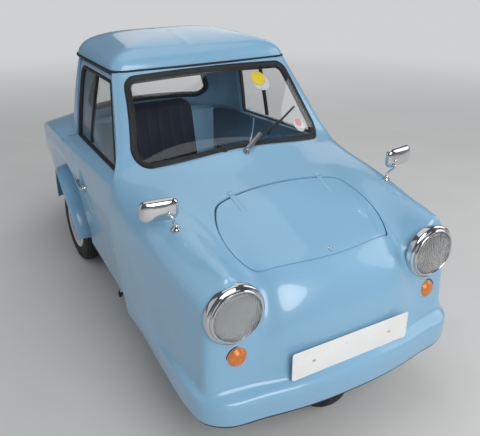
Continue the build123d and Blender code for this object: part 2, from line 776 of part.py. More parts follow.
AXLE = (0, FRONT_AXLE_Y, TYRE_R)
HEAD_LOW = along(AXLE, CROWN_UP + 32)
HEAD_TOP = along(AXLE, CROWN_UP + 32 + HEAD_LENGTH)
chassis_parts = []
for side in (-1, 1):
    x = side * RAIL_X
    rail_x = (x - RAIL[0] / 2, x + RAIL[0] / 2)
    chassis_parts.append(block(rail_x, (-868, 1180), (RAIL_Z, RAIL_Z + RAIL[1])))
    pad = JACK_PAD[0] / 2
    chassis_parts.append(block((x - pad, x + pad), (JACK_Y - pad, JACK_Y + pad), (RAIL_Z - JACK_PAD[1], RAIL_Z)))
    foot = (side * RAIL_X, -852, RAIL_Z + 16)
    knee = (side * 150, -880, 600)
    top = along(AXLE, CROWN_UP + 98)
    chassis_parts.append(rod(foot, knee, 16))
    chassis_parts.append(rod((side * 156, -874, 600), (side * 12, top[1] + 8, top[2]), 14))
for y in (-780, JACK_Y, 180, 730, 1030):
    chassis_parts.append(block((-RAIL_X, RAIL_X), (y - 20, y + 20), (RAIL_Z, RAIL_Z + RAIL[1])))
chassis_parts.append(block((-424, 424), (1130, 1170), (RAIL_Z, GROUND_EDGE_Z - SEAT_GAP)))
chassis_parts.append(rod(HEAD_LOW, HEAD_TOP, HEAD_R))
head_bore = rod(along(AXLE, CROWN_UP), along(AXLE, CROWN_UP + 400), STEM_R + AXLE_CLEARANCE)
save(cut(joined(chassis_parts), [head_bore]), "chassis_frame")

# Front fork: axle, two legs, crown, stem and steering arm
ARM = 70
ARM_UP = CROWN_UP + 20
fork_parts = []
for side in (-1, 1):
    low = (side * FORK_LEG_X, FRONT_AXLE_Y, TYRE_R)
    fork_parts.append(rod(low, along(low, CROWN_UP), FORK_LEG_R))
crown_plane = Plane(origin=along(AXLE, CROWN_UP - 12), z_dir=LEAN, x_dir=(1, 0, 0))
with BuildPart() as crown:
    with BuildSketch(crown_plane):
        RectangleRounded(2 * FORK_LEG_X + 44, 56, 20)
    extrude(amount=24)
fork_parts.append(crown.part)
fork_parts.append(rod(along(AXLE, CROWN_UP - 4), along(AXLE, CROWN_UP + 168), STEM_R))
fork_parts.append(rod((-FORK_LEG_X - 20, FRONT_AXLE_Y, TYRE_R), (FORK_LEG_X + 20, FRONT_AXLE_Y, TYRE_R), AXLE_R))
pin_low = (-ARM, *along(AXLE, CROWN_UP + 10)[1:])
fork_parts.append(rod(pin_low, along(pin_low, 40), 6))
save(joined(fork_parts), "front_fork")


# Wheels
def wheel_rim(x, hub_half):
    """Pressed steel wheel with a hub, centred on x, axis along X."""
    half = RIM_W / 2
    profile = [
        (-hub_half, AXLE_R + AXLE_CLEARANCE),
        (-hub_half, HUB_R),
        (-6, HUB_R),
        (-6, RIM_R - 18),
        (-half, RIM_R - 14),
        (-half, RIM_R + 12),
        (-half + 8, RIM_R + 12),
        (-half + 12, RIM_R),
        (half - 12, RIM_R),
        (half - 8, RIM_R + 12),
        (half, RIM_R + 12),
        (half, RIM_R - 14),
        (2, RIM_R - 18),
        (2, HUB_R),
        (hub_half, HUB_R),
        (hub_half, AXLE_R + AXLE_CLEARANCE),
    ]
    with BuildPart() as form:
        with BuildSketch(Plane.XY):
            with BuildLine():
                Polyline(*profile, close=True)
            make_face()
        revolve(axis=Axis.X)
    return form.part.moved(Location((x, 0, 0)))


def tyre_ring(x):
    """Tyre with a rounded tread, centred on x, axis along X."""
    half = TYRE_W / 2
    lip = RIM_W / 2 - 12 - SEAT_GAP
    base = RIM_R + SEAT_GAP
    bead = RIM_W / 2 - 8 - SEAT_GAP
    bead_r = RIM_R + 12 + 2 * SEAT_GAP
    with BuildPart() as form:
        with BuildSketch(Plane.XY):
            with BuildLine():
                Line((lip, base), (-lip, base))
                Line((-lip, base), (-bead, bead_r))
                ThreePointArc((-bead, bead_r), (-half, RIM_R + 50), (-half + 16, TYRE_R - 12))
                ThreePointArc((-half + 16, TYRE_R - 12), (0, TYRE_R), (half - 16, TYRE_R - 12))
                ThreePointArc((half - 16, TYRE_R - 12), (half, RIM_R + 50), (bead, bead_r))
                Line((bead, bead_r), (lip, base))
            make_face()
        revolve(axis=Axis.X)
    return form.part.moved(Location((x, 0, 0)))


FRONT_HUB_HALF = 60
REAR_HUB_HALF = 40
WHEELS = [
    ("front", 0, FRONT_AXLE_Y, FRONT_HUB_HALF),
    ("rear_left", REAR_WHEEL_X, REAR_AXLE_Y, REAR_HUB_HALF),
    ("rear_right", -REAR_WHEEL_X, REAR_AXLE_Y, REAR_HUB_HALF),
]
for wheel_name, x, y, hub_half in WHEELS:
    place = Location((0, y, TYRE_R))
    save(wheel_rim(x, hub_half).moved(place), f"{wheel_name}_rim")
    save(tyre_ring(x).moved(place), f"{wheel_name}_tyre")

# Trailing arms with stub axles
ARM_PIVOT_Y = 210
ARM_X = 300
arms = []
for side in (-1, 1):
    pivot = (side * (RAIL_X + RAIL[0] / 2 + SEAT_GAP), ARM_PIVOT_Y, RAIL_Z + 18)
    elbow = (side * ARM_X, ARM_PIVOT_Y, RAIL_Z + 18)
    hub = (side * ARM_X, REAR_AXLE_Y, TYRE_R)
    arms.append(joined([
        rod(pivot, (side * (ARM_X + 12), ARM_PIVOT_Y, RAIL_Z + 18), 18),
        rod(elbow, hub, 15),
        rod((side * (ARM_X - 14), REAR_AXLE_Y, TYRE_R), (side * (ARM_X + 40), REAR_AXLE_Y, TYRE_R), 24),
        rod((side * ARM_X, REAR_AXLE_Y, TYRE_R), (side * (REAR_WHEEL_X + 52), REAR_AXLE_Y, TYRE_R), AXLE_R),
        rod(hub, (side * (ARM_X - 20), REAR_AXLE_Y + 10, 560), 9),
    ]))
save(joined(arms), "trailing_arms")

# Steering column, tiller and drag link
COLUMN_X = -124
COLUMN_FOOT = (COLUMN_X, -520, 330)
COLUMN_TUBE = (46, 420)
TILLER_UP = 520
SHAFT_R = 11
column_low = along(COLUMN_FOOT, COLUMN_TUBE[0])
column_top = along(COLUMN_FOOT, COLUMN_TUBE[1])
stay_top = along(COLUMN_FOOT, 120)
column = joined([
    rod(column_low, column_top, 19),
    rod((COLUMN_X, -470, FLOOR_Z + FLOOR_T + 4), stay_top, 10),
    block((COLUMN_X - 50, COLUMN_X + 50), (-500, -440), (FLOOR_Z + FLOOR_T + SEAT_GAP, FLOOR_Z + FLOOR_T + 6)),
])
column_bore = rod(COLUMN_FOOT, along(COLUMN_FOOT, 600), SHAFT_R + AXLE_CLEARANCE)
save(cut(column, [column_bore]), "steering_column")

arm_pin = (COLUMN_X - ARM, *along(COLUMN_FOOT, 10)[1:])
tiller_top = along(COLUMN_FOOT, TILLER_UP)
GRIP = 150
tiller_parts = [rod(along(COLUMN_FOOT, -6), tiller_top, SHAFT_R), rod(arm_pin, along(arm_pin, 34), 6)]
tiller_parts.append(rod(along(COLUMN_FOOT, 8), (COLUMN_X - ARM, *along(COLUMN_FOOT, 8)[1:]), 7))
for side in (-1, 1):
    bend = (COLUMN_X + side * GRIP, tiller_top[1] + 30, tiller_top[2] + 12)
    tiller_parts.append(rod((COLUMN_X, tiller_top[1], tiller_top[2] - 8), bend, 9))
    tiller_parts.append(rod(bend, (COLUMN_X + side * (GRIP + 20), bend[1] + 110, bend[2] - 4), 13))
save(joined(tiller_parts), "tiller")

link_front = along(pin_low, 30)
link_rear = along(arm_pin, 24)
eyes = []
for point in (link_front, link_rear):
    eyes.append(rod(along(point, -5), along(point, 5), 15))
pins = []
for point in (link_front, link_rear):
    pins.append(rod(along(point, -30), along(point, 30), 6 + AXLE_CLEARANCE))
save(cut(joined(eyes + [rod(link_front, link_rear, 6)]), pins), "drag_link")

# Seat
SEAT_X = (-330, 110)
SEAT_Y = (-450, -40)
CUSHION = (335, 435)
BACK_LEAN = 14
BACK_Y = -34
seat_mid = sum(SEAT_X) / 2
seat_wide = SEAT_X[1] - SEAT_X[0]
with BuildPart() as cushion:
    with BuildSketch(Plane.XY.offset(CUSHION[0])):
        with Locations((seat_mid, sum(SEAT_Y) / 2)):
            RectangleRounded(seat_wide, SEAT_Y[1] - SEAT_Y[0], 50)
    extrude(amount=CUSHION[1] - CUSHION[0])
save(cushion.part, "seat_cushion")

back_plane = Plane(
    origin=(seat_mid, BACK_Y, 430),
    x_dir=(1, 0, 0),
    z_dir=(0, cos(radians(BACK_LEAN)), -sin(radians(BACK_LEAN))),
)
BACK_T = 80
BACK_H = 600
with BuildPart() as seat_back:
    with BuildSketch(back_plane):
        with Locations((0, -BACK_H / 2 - 10)):
            RectangleRounded(seat_wide, BACK_H, 70)
    extrude(amount=BACK_T)
save(seat_back.part, "seat_back")

legs = []
for side in (-1, 1):
    x = seat_mid + side * (seat_wide / 2 - 40)
    base = FLOOR_Z + FLOOR_T + SEAT_GAP
    legs.append(block((x - 12, x + 12), (-420, -60), (base, base + 14)))
    for y in (-400, -80):
        legs.append(block((x - 10, x + 10), (y - 10, y + 10), (base, CUSHION[0] - SEAT_GAP)))
    legs.append(block((x - 10, x + 10), (-60, 44), (CUSHION[0] - 16, CUSHION[0] - SEAT_GAP)))
    behind = BACK_T + SEAT_GAP + 10
    lean = radians(BACK_LEAN)
    start = (x, BACK_Y + behind * cos(lean) - 92 * sin(lean), 430 - behind * sin(lean) - 92 * cos(lean))
    legs.append(rod(start, (x, start[1] + 500 * sin(lean), start[2] + 500 * cos(lean)), 10))
legs.append(block((SEAT_X[0] + 20, SEAT_X[1] - 20), (-430, -50), (CUSHION[0] - 16, CUSHION[0] - SEAT_GAP)))
save(joined(legs), "seat_frame")

# Dashboard
dash_panel = common(block((-340, 340), (-540, -528), (740, 980)), nose_form(WALL + SEAT_GAP))
dash = joined([
    dash_panel,
    block((-330, 330), (-610, -528), (740, 752)),
    rod((COLUMN_X, -540, 850), (COLUMN_X, -500, 846), 44),
])
save(dash, "dashboard")

# Engine, exhaust and tail pieces
save(block((-190, 190), (700, 1060), (RAIL_Z + RAIL[1] + SEAT_GAP, 560)), "engine_block")
exhaust = joined([
    rod((-140, 1240, 196), (140, 1240, 196), 52),
    rod((120, 1240, 190), (120, 1390, 186), 17),
    block((-10, 10), (1140, 1200), (212, RAIL_Z - SEAT_GAP)),
    rod((-110, 1064, 184), (-110, 1240, 190), 16),
    rod((-110, 1078, 184), (-110, 1100, 240), 16),
])
save(exhaust, "exhaust")


def disc_stack(points, centre):
    """Turned piece about an axis along Y; points are (radius, y)."""
    with BuildPart() as form:
        with BuildSketch(Plane.XY):
            with BuildLine():
                Polyline(*points, close=True)
            make_face()
        revolve(axis=Axis.Y)
    return form.part.moved(Location(centre))


DOME_FLAT = 1.5  # flat at the middle of a domed lens


def dome(radius, rise, y, centre):
    """Domed lens that bulges towards -Y from a flat back at y."""
    with BuildPart() as form:
        with BuildSketch(Plane.XY):
            with BuildLine():
                Line((0, y), (radius, y))
                Line((radius, y), (radius, y - 3))
                ThreePointArc((radius, y - 3), (radius * 0.55, y - 3 - rise * 0.75), (DOME_FLAT, y - 3 - rise))
                Line((DOME_FLAT, y - 3 - rise), (0, y - 3 - rise))
                Line((0, y - 3 - rise), (0, y))
            make_face()
        revolve(axis=Axis.Y)
    return form.part.moved(Location(centre))


rims = []
lenses = []
indicators = []
for side in (-1, 1):
    centre = (side * LAMP_X, 0, LAMP_Z)
    face = LAMP_FACE_Y - SEAT_GAP
    ring = [
        (LAMP_LENS_R + SEAT_GAP, face),
        (LAMP_RIM_R, face),
        (LAMP_RIM_R, face - 10),
        (LAMP_RIM_R - 6, face - 16),
        (LAMP_RIM_R - 12, face - 17),
        (LAMP_RIM_R - 13, face - 24),
        (LAMP_LENS_R + SEAT_GAP, face - 26),
    ]
    rims.append(disc_stack(ring, centre))
    lenses.append(dome(LAMP_LENS_R, 22, face, centre))
    indicators.append(dome(INDICATOR_R, 18, face, (side * 427, 0, INDICATOR_Z)))
front_skin = joined([front_body(-SEAT_GAP), greenhouse_form(-SEAT_GAP)])
save(cut(joined(rims), [front_skin]), "headlamp_rims")
save(joined(lenses), "headlamp_lenses")
save(joined(indicators), "front_indicators")

# Number plate on its brackets, and the tail lamps
front_plate = joined([
    block((-PLATE_W / 2, PLATE_W / 2), (-1358, -1358 + PLATE_T), (PLATE_Z - PLATE_H / 2, PLATE_Z + PLATE_H / 2)),
    block((-180, -160), (-1358, -1326), (PLATE_Z - 8, PLATE_Z + 8)),
    block((160, 180), (-1358, -1326), (PLATE_Z - 8, PLATE_Z + 8)),
])
save(cut(front_plate, [front_skin]), "number_plates")
tail_face = TAIL_Y - 12 + SEAT_GAP
tails = []
for side in (-1, 1):
    lamp = dome(TAIL_LAMP_R, 18, 0, (0, 0, 0)).rotate(Axis.Z, 180)
    tails.append(lamp.moved(Location((side * TAIL_LAMP[0], tail_face, TAIL_LAMP[1]))))
save(joined(tails), "tail_lamps")

# Mirrors on the wings
MIRROR_HEAD = (520, -960, 925)
MIRROR_SIZE = (136, 78, 22)  # width, height and depth of the head
MIRROR_ROUND = 18
mirrors = []
for side in (-1, 1):
    base = (side * MIRROR_BASE[0], MIRROR_BASE[1], 828)
    head = (side * MIRROR_HEAD[0], *MIRROR_HEAD[1:])
    with BuildPart() as shell:
        with BuildSketch(Plane.XZ.offset(-head[1] - 8)):
            with Locations((head[0], head[2])):
                RectangleRounded(MIRROR_SIZE[0], MIRROR_SIZE[1], MIRROR_ROUND)
        extrude(amount=MIRROR_SIZE[2])
        fillet(shell.faces().sort_by(Axis.Y)[0].edges(), 8)
    mirrors.append(joined([
        rod(base, head, 5),
        rod((base[0], base[1], 822), (base[0], base[1], 832), 14),
        shell.part,
    ]))
save(cut(joined(mirrors), [front_skin]), "wing_mirrors")

# Wiper: a pivot, a broad arm and a blade that lies on the screen
WIPER_PIVOT = ((0, -574, 906), (6, -588, 932))
WIPER_JOINT = (258, -478, 1004)
WIPER_BLADE = ((161, -521, 968), (346, -430, 1040))
wiper = joined([
    rod(WIPER_PIVOT[0], WIPER_PIVOT[1], 10),
    rod((6, -584, 928), (110, -537, 966), 5),
    rod((110, -537, 966), WIPER_JOINT, 3.5),
    rod(WIPER_BLADE[0], WIPER_BLADE[1], 4),
])
save(cut(wiper, [front_skin]), "wiper")
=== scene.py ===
"""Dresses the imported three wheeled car: smooth body panels, glass, lamps, seat, trim and finishes."""

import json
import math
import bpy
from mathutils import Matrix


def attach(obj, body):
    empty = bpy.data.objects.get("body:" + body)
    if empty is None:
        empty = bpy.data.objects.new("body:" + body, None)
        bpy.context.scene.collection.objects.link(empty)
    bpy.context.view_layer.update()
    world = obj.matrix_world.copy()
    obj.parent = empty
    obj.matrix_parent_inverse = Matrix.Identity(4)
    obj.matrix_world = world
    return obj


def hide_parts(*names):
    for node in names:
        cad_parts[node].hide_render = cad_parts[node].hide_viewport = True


bl_info = {
    "name": "Three wheeled car",
    "version": (1, 0, 0),
    "blender": (4, 5, 0),
    "location": "View3D > Sidebar > Three wheeler",
    "description": "Models the body, glass, lamps, seat, wheels and stage of a small three wheeled car",
    "category": "Object",
}

import bmesh
import bpy
import numpy as np
from mathutils import Matrix, Vector
from mathutils.bvhtree import BVHTree

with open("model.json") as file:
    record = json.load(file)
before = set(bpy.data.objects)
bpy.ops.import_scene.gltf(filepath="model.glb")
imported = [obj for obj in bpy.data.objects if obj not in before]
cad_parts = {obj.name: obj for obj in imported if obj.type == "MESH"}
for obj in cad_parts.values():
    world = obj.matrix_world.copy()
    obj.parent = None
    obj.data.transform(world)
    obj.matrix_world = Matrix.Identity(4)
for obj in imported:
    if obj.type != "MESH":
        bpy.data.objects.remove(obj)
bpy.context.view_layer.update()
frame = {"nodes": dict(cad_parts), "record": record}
MM = 0.001

# Camera of the photograph
CAMERA_PLACE = (-1.202, -2.650, 1.730)
CAMERA_PITCH = 25.06
CAMERA_YAW = 29.79
CAMERA_LENS = 44.36


# Finishes by name, filled by make_finishes
FINISHES = {}


# Mesh helpers


def clear_selection():
    """Nothing selected and nothing active, in object mode."""
    if bpy.context.object and bpy.context.object.mode != "OBJECT":
        bpy.ops.object.mode_set(mode="OBJECT")
    bpy.ops.object.select_all(action="DESELECT")


def make_active(obj):
    """Selects one object alone."""
    clear_selection()
    obj.select_set(True)
    bpy.context.view_layer.objects.active = obj


def new_object(name, points, faces, smooth=True):
    """Mesh object from points in metres, with outward normals left as given."""
    mesh = bpy.data.meshes.new(name)
    mesh.from_pydata([tuple(p) for p in points], [], [tuple(f) for f in faces])
    mesh.update()
    obj = bpy.data.objects.new(name, mesh)
    bpy.context.collection.objects.link(obj)
    if smooth:
        mesh.polygons.foreach_set("use_smooth", [True] * len(mesh.polygons))
    return obj


def apply_modifier(obj, kind, **settings):
    """Adds a modifier with these settings and applies it."""
    modifier = obj.modifiers.new(kind.title(), kind)
    for key, value in settings.items():
        setattr(modifier, key, value)
    make_active(obj)
    bpy.ops.object.modifier_apply(modifier=modifier.name)


def smooth_by_angle(obj, degrees=35):
    """Smooth shading with sharp edges kept above an angle."""
    make_active(obj)
    bpy.ops.object.shade_smooth_by_angle(angle=math.radians(degrees))


def outward(obj, merge=0.00005):
    """Merges doubles, unless merge is 0, and turns the faces outwards."""
    make_active(obj)
    bpy.ops.object.mode_set(mode="EDIT")
    bpy.ops.mesh.select_all(action="SELECT")
    if merge:
        bpy.ops.mesh.remove_doubles(threshold=merge)
    bpy.ops.mesh.normals_make_consistent(inside=False)
    bpy.ops.object.mode_set(mode="OBJECT")


def join(objects, name):
    """Joins objects into one under a name."""
    clear_selection()
    for obj in objects:
        obj.select_set(True)
    bpy.context.view_layer.objects.active = objects[0]
    if len(objects) > 1:
        bpy.ops.object.join()
    result = bpy.context.view_layer.objects.active
    result.name = name
    result.data.name = name
    return result


def remove(obj):
    """Deletes a helper object."""
    bpy.data.objects.remove(obj, do_unlink=True)


def boolean(obj, cutter, operation="DIFFERENCE"):
    """Cuts with another closed mesh, or keeps the common part, and deletes the other mesh."""
    apply_modifier(obj, "BOOLEAN", operation=operation, object=cutter, solver="EXACT")
    remove(cutter)


# Surfaces through a table of points


def limit_weights(count, faces):
    """Catmull-Clark limit weights: one row for each cage point."""
    edge_faces = {}
    around = [[] for _ in range(count)]
    for face in faces:
        for i, a in enumerate(face):
            b = face[(i + 1) % len(face)]
            edge_faces.setdefault((min(a, b), max(a, b)), []).append(face)
            around[a].append(face)
    links = [[] for _ in range(count)]
    for a, b in edge_faces:
        links[a].append(b)
        links[b].append(a)
    weights = np.zeros((count, count))
    for v in range(count):
        rim = [o for o in links[v] if len(edge_faces[(min(v, o), max(v, o))]) == 1]
        n = len(links[v])
        if not rim:
            weights[v, v] = n * n
            for o in links[v]:
                weights[v, o] += 4
            for face in around[v]:
                weights[v, face[(face.index(v) + 2) % 4]] += 1
            weights[v] /= n * (n + 5)
        elif len(around[v]) == 1:
            weights[v, v] = 1
        else:
            weights[v, v] = 4 / 6
            for o in rim:
                weights[v, o] += 1 / 6
    return weights


def fitted_surface(name, points, faces):
    """Subdivided surface that passes through every given point."""
    targets = np.array(points, dtype=float)
    cage = np.linalg.solve(limit_weights(len(points), faces), targets)
    obj = new_object(name, cage, faces)
    apply_modifier(
        obj, "SUBSURF", levels=3, render_levels=3, boundary_smooth="PRESERVE_CORNERS", use_limit_surface=True
    )
    return obj


def grid_faces(rows, cols, at):
    """Quads of a grid, with at(row, col) giving point numbers."""
    quads = []
    for r in range(rows - 1):
        for c in range(cols - 1):
            quads.append((at(r, c), at(r, c + 1), at(r + 1, c + 1), at(r + 1, c)))
    return quads


def ring_faces(rings, n):
    """Quads between closed rings of n points each."""
    faces = []
    for k in range(rings - 1):
        faces += [(k * n + i, k * n + (i + 1) % n, (k + 1) * n + (i + 1) % n, (k + 1) * n + i) for i in range(n)]
    return faces


def whole_row(half):
    """A row given for the left half, x from 0 up, mirrored to the full width, in metres."""
    left = [(x * MM, y * MM, z * MM) for x, y, z in half]
    right = [(-x, y, z) for x, y, z in reversed(left[1:])]
    return right + left


def slab(name, near, far):
    """Closed solid between two outlines with equal counts."""
    n = len(near)
    faces = [tuple(range(n)), tuple(range(2 * n - 1, n - 1, -1))]
    faces += [(i, i + n, (i + 1) % n + n, (i + 1) % n) for i in range(n)]
    obj = new_object(name, near + far, faces, smooth=False)
    outward(obj)
    return obj


def prism(name, outline, axis, low, high):
    """Closed prism on an outline of pairs, along X, Y or Z between two limits, in metres."""
    place = {
        "X": lambda a, b, t: (t, a, b),
        "Y": lambda a, b, t: (a, t, b),
        "Z": lambda a, b, t: (a, b, t),
    }[axis]
    return slab(name, [place(a, b, low) for a, b in outline], [place(a, b, high) for a, b in outline])


def rounded_outline(corners, radius, steps=10):
    """Polygon with each corner rounded to a radius, as pairs in metres."""
    result = []
    count = len(corners)
    for i in range(count):
        before = Vector(corners[i - 1])
        here = Vector(corners[i])
        after = Vector(corners[(i + 1) % count])
        u = (before - here).normalized()
        w = (after - here).normalized()
        half = u.angle(w) / 2
        r = radius[i] if isinstance(radius, (list, tuple)) else radius
        reach = r / math.tan(half)
        centre = here + (u + w).normalized() * (r / math.sin(half))
        start = here + u * reach - centre
        end = here + w * reach - centre
        turn = start.angle_signed(end)
        for k in range(steps + 1):
            a = -turn * k / steps
            c, s = math.cos(a), math.sin(a)
            result.append((centre.x + start.x * c - start.y * s, centre.y + start.x * s + start.y * c))
    return result


def rounded_box(half_wide, half_tall, radius, steps):
    """Rounded rectangle about the origin, as pairs in metres."""
    corners = [(-half_wide, -half_tall), (-half_wide, half_tall), (half_wide, half_tall), (half_wide, -half_tall)]
    return rounded_outline(corners, radius, steps)


def resampled(outline, count):
    """Evenly spaced points round a closed outline."""
    pts = np.array(list(outline) + [outline[0]], dtype=float)
    steps = np.hypot(*np.diff(pts, axis=0).T)
    along = np.concatenate([[0], np.cumsum(steps)])
    marks = np.linspace(0, along[-1], count, endpoint=False)
    return [(float(np.interp(m, along, pts[:, 0])), float(np.interp(m, along, pts[:, 1]))) for m in marks]


def sweep(name, path, normals, profile, closed=True):
    """Sweeps a closed profile of (side, out) pairs along a path with given surface normals."""
    count = len(path)
    points = []
    for i, (p, n) in enumerate(zip(path, normals)):
        before = path[i - 1] if closed or i else path[i]
        after = path[(i + 1) % count] if closed or i < count - 1 else path[i]
        tangent = (Vector(after) - Vector(before)).normalized()
        n = Vector(n).normalized()
        side = tangent.cross(n).normalized()
        for a, b in profile:
            points.append(Vector(p) + side * a + n * b)
    m = len(profile)
    faces = []
    for i in range(count if closed else count - 1):
        for k in range(m):
            a = i * m + k
            b = i * m + (k + 1) % m
            c = ((i + 1) % count) * m + (k + 1) % m
            d = ((i + 1) % count) * m + k
            faces.append((a, b, c, d))
    if not closed:
        faces.append(tuple(range(m - 1, -1, -1)))
        faces.append(tuple((count - 1) * m + k for k in range(m)))
    obj = new_object(name, points, faces)
    outward(obj)
    return obj


def round_profile(half, thick, steps=12):
    """Oval profile for a seal or a bead, in metres."""
    turns = [2 * math.pi * i / steps for i in range(steps)]
    return [(half * math.cos(a), thick * math.sin(a)) for a in turns]


def surface_tree(obj):
    """Search tree of a mesh for placing things on its surface."""
    bm = bmesh.new()
    bm.from_mesh(obj.data)
    tree = BVHTree.FromBMesh(bm)
    bm.free()
    return tree


def laid_on(tree, outline, axis, origin, direction):
    """Drops an outline of pairs onto a surface along an axis: points and outward normals."""
    path = []
    normals = []
    for a, b in outline:
        start = {"X": (origin, a, b), "Y": (a, origin, b), "Z": (a, b, origin)}[axis]
        hit, normal, _, _ = tree.ray_cast(Vector(start), Vector(direction))
        if hit is None:
            hit, normal, _, _ = tree.find_nearest(Vector(start))
        if normal.dot(Vector(direction)) > 0:
            normal = -normal
        path.append(hit)
        normals.append(normal)
    return path, normals


def from_above(tree, outline):
    """Drops x, y pairs onto a surface from above the car."""
    return laid_on(tree, outline, "Z", 1.3, (0, 0, -1))


def from_front(tree, outline):
    """Lays x, z pairs onto a surface from in front of the windscreen."""
    return laid_on(tree, outline, "Y", -1.2, (0, 1, 0))


# Front of the body: rows from the roof forward over the bonnet, then down the nose
# Each point is x, y, z in mm, from the middle out to the shoulder
SCREEN_ROWS = [
    [(0, -250, 1232), (150, -249, 1232), (270, -247, 1232), (342, -244, 1232), (384, -240, 1232),
     (408, -229, 1232), (421, -209, 1232)],
    [(0, -398, 1082), (155, -395, 1082), (285, -388, 1082), (370, -377, 1082), (425, -360, 1082),
     (450, -347, 1081), (464, -331, 1080)],
    [(0, -512, 966), (158, -508, 964), (292, -496, 960), (382, -478, 954), (448, -457, 949),
     (482, -449, 946), (506, -438, 942)],
]
BONNET_ROWS = [
    [(0, -585, 936), (155, -582, 933), (280, -574, 922), (370, -560, 906), (450, -536, 890),
     (524, -514, 872), (564, -508, 815)],
    [(0, -680, 902), (155, -680, 900), (275, -678, 892), (362, -672, 876), (446, -660, 862),
     (520, -644, 846), (568, -634, 792)],
    [(0, -810, 863), (155, -810, 863), (275, -808, 857), (358, -804, 845), (440, -796, 843),
     (512, -786, 832), (566, -776, 772)],
    [(0, -940, 822), (155, -940, 822), (272, -940, 814), (352, -940, 800), (434, -934, 820),
     (504, -928, 812), (560, -920, 754)],
    [(0, -1060, 782), (154, -1060, 781), (268, -1060, 768), (346, -1062, 752), (430, -1062, 796),
     (496, -1056, 788), (552, -1048, 734)],
    [(0, -1150, 753), (153, -1150, 750), (265, -1150, 732), (342, -1158, 712), (428, -1162, 785),
     (489, -1158, 774), (541, -1152, 720)],
    [(0, -1216, 727), (151, -1216, 722), (262, -1210, 700), (336, -1214, 682), (428, -1228, 774),
     (483, -1224, 762), (530, -1214, 710)],
    [(0, -1276, 682), (150, -1272, 677), (260, -1252, 662), (334, -1246, 640), (428, -1259, 748),
     (480, -1257, 736), (520, -1244, 692)],
]
NOSE_ROWS = [
    [(0, -1312, 620), (150, -1309, 617), (262, -1288, 606), (336, -1264, 592), (428, -1268, 640),
     (483, -1267, 632), (523, -1251, 620)],
    [(0, -1331, 555), (150, -1328, 553), (264, -1309, 547), (342, -1281, 540), (430, -1270, 552),
     (486, -1268, 548), (525, -1253, 546)],
    [(0, -1340, 480), (150, -1337, 480), (267, -1320, 478), (348, -1294, 474), (432, -1277, 476),
     (488, -1271, 474), (528, -1254, 472)],
    [(0, -1344, 410), (150, -1341, 410), (270, -1325, 409), (352, -1303, 408), (434, -1288, 407),
     (490, -1278, 406), (531, -1258, 404)],
    [(0, -1350, 372), (150, -1347, 372), (272, -1332, 371), (356, -1314, 371), (436, -1302, 370),
     (492, -1290, 369), (536, -1266, 366)],
    [(0, -1376, 355), (150, -1372, 355), (274, -1357, 354), (358, -1341, 354), (438, -1331, 353),
     (497, -1314, 352), (544, -1276, 350)],
    [(0, -1388, 338), (150, -1384, 338), (275, -1369, 338), (360, -1354, 338), (440, -1344, 338),
     (500, -1326, 338), (549, -1282, 336)],
    [(0, -1389, 300), (150, -1385, 300), (275, -1370, 300), (360, -1355, 300), (440, -1345, 300),
     (500, -1327, 300), (550, -1282, 300)],
    [(0, -1388, 262), (150, -1383, 262), (275, -1368, 262), (360, -1353, 262), (440, -1343, 262),
     (499, -1325, 262), (549, -1280, 262)],
]
# Flank of the front shell: for each bonnet row but the last, from below the shoulder to the foot
FLANK_ROWS = [
    [(579, -512, 712), (576, -512, 604), (565, -512, 498), (555, -512, 410), (552, -512, 374),
     (550, -512, 352), (548, -512, 336), (545, -512, 300), (541, -512, 262)],
    [(578, -630, 702), (574, -628, 600), (563, -628, 496), (555, -628, 410), (552, -628, 374),
     (551, -628, 352), (549, -628, 336), (547, -628, 300), (543, -628, 262)],
    [(575, -774, 690), (571, -772, 592), (561, -770, 493), (555, -768, 410), (554, -768, 374),
     (556, -768, 352), (556, -768, 336), (554, -768, 300), (549, -768, 262)],
    [(569, -918, 676), (565, -918, 584), (556, -916, 489), (551, -914, 409), (553, -914, 373),
     (561, -914, 354), (564, -914, 338), (563, -914, 300), (559, -914, 262)],
    [(560, -1048, 662), (556, -1048, 575), (549, -1046, 485), (547, -1044, 408), (551, -1044, 372),
     (565, -1044, 355), (569, -1044, 339), (569, -1044, 300), (566, -1044, 262)],
    [(549, -1150, 648), (547, -1150, 566), (542, -1148, 480), (542, -1148, 407), (547, -1150, 370),
     (565, -1152, 354), (571, -1152, 338), (572, -1152, 300), (569, -1152, 262)],
    [(535, -1212, 634), (535, -1212, 556), (536, -1212, 476), (538, -1214, 405), (543, -1218, 368),
     (560, -1224, 352), (567, -1226, 337), (568, -1226, 300), (565, -1225, 262)],
]


def body_surface(name, top_rows, end_rows, flank_rows, flank_from, turn=1):
    """Smooth outer surface: rows over the top, rows down the end, and a flank on each side."""
    rows = [whole_row(r) for r in top_rows + end_rows]
    cols = len(rows[0])
    points = [p for row in rows for p in row]

    def at(r, c):
        return r * cols + c

    faces = grid_faces(len(rows), cols, at)
    corner = len(top_rows) - 1
    levels = len(end_rows)
    span = corner - flank_from + 1
    for side in (1, -1):
        edge = cols - 1 if side > 0 else 0
        number = {}
        for j in range(span):
            number[(j, 0)] = at(flank_from + j, edge)
            for k in range(1, levels + 1):
                if j == span - 1:
                    number[(j, k)] = at(corner + k, edge)
                else:
                    x, y, z = flank_rows[j][k - 1]
                    number[(j, k)] = len(points)
                    points.append((side * x * MM, y * MM, z * MM))
        for j in range(span - 1):
            for k in range(levels):
                quad = (number[(j, k)], number[(j, k + 1)], number[(j + 1, k + 1)], number[(j + 1, k)])
                faces.append(quad if side > 0 else tuple(reversed(quad)))
    if turn < 0:
        faces = [tuple(reversed(f)) for f in faces]
    return fitted_surface(name, points, faces)


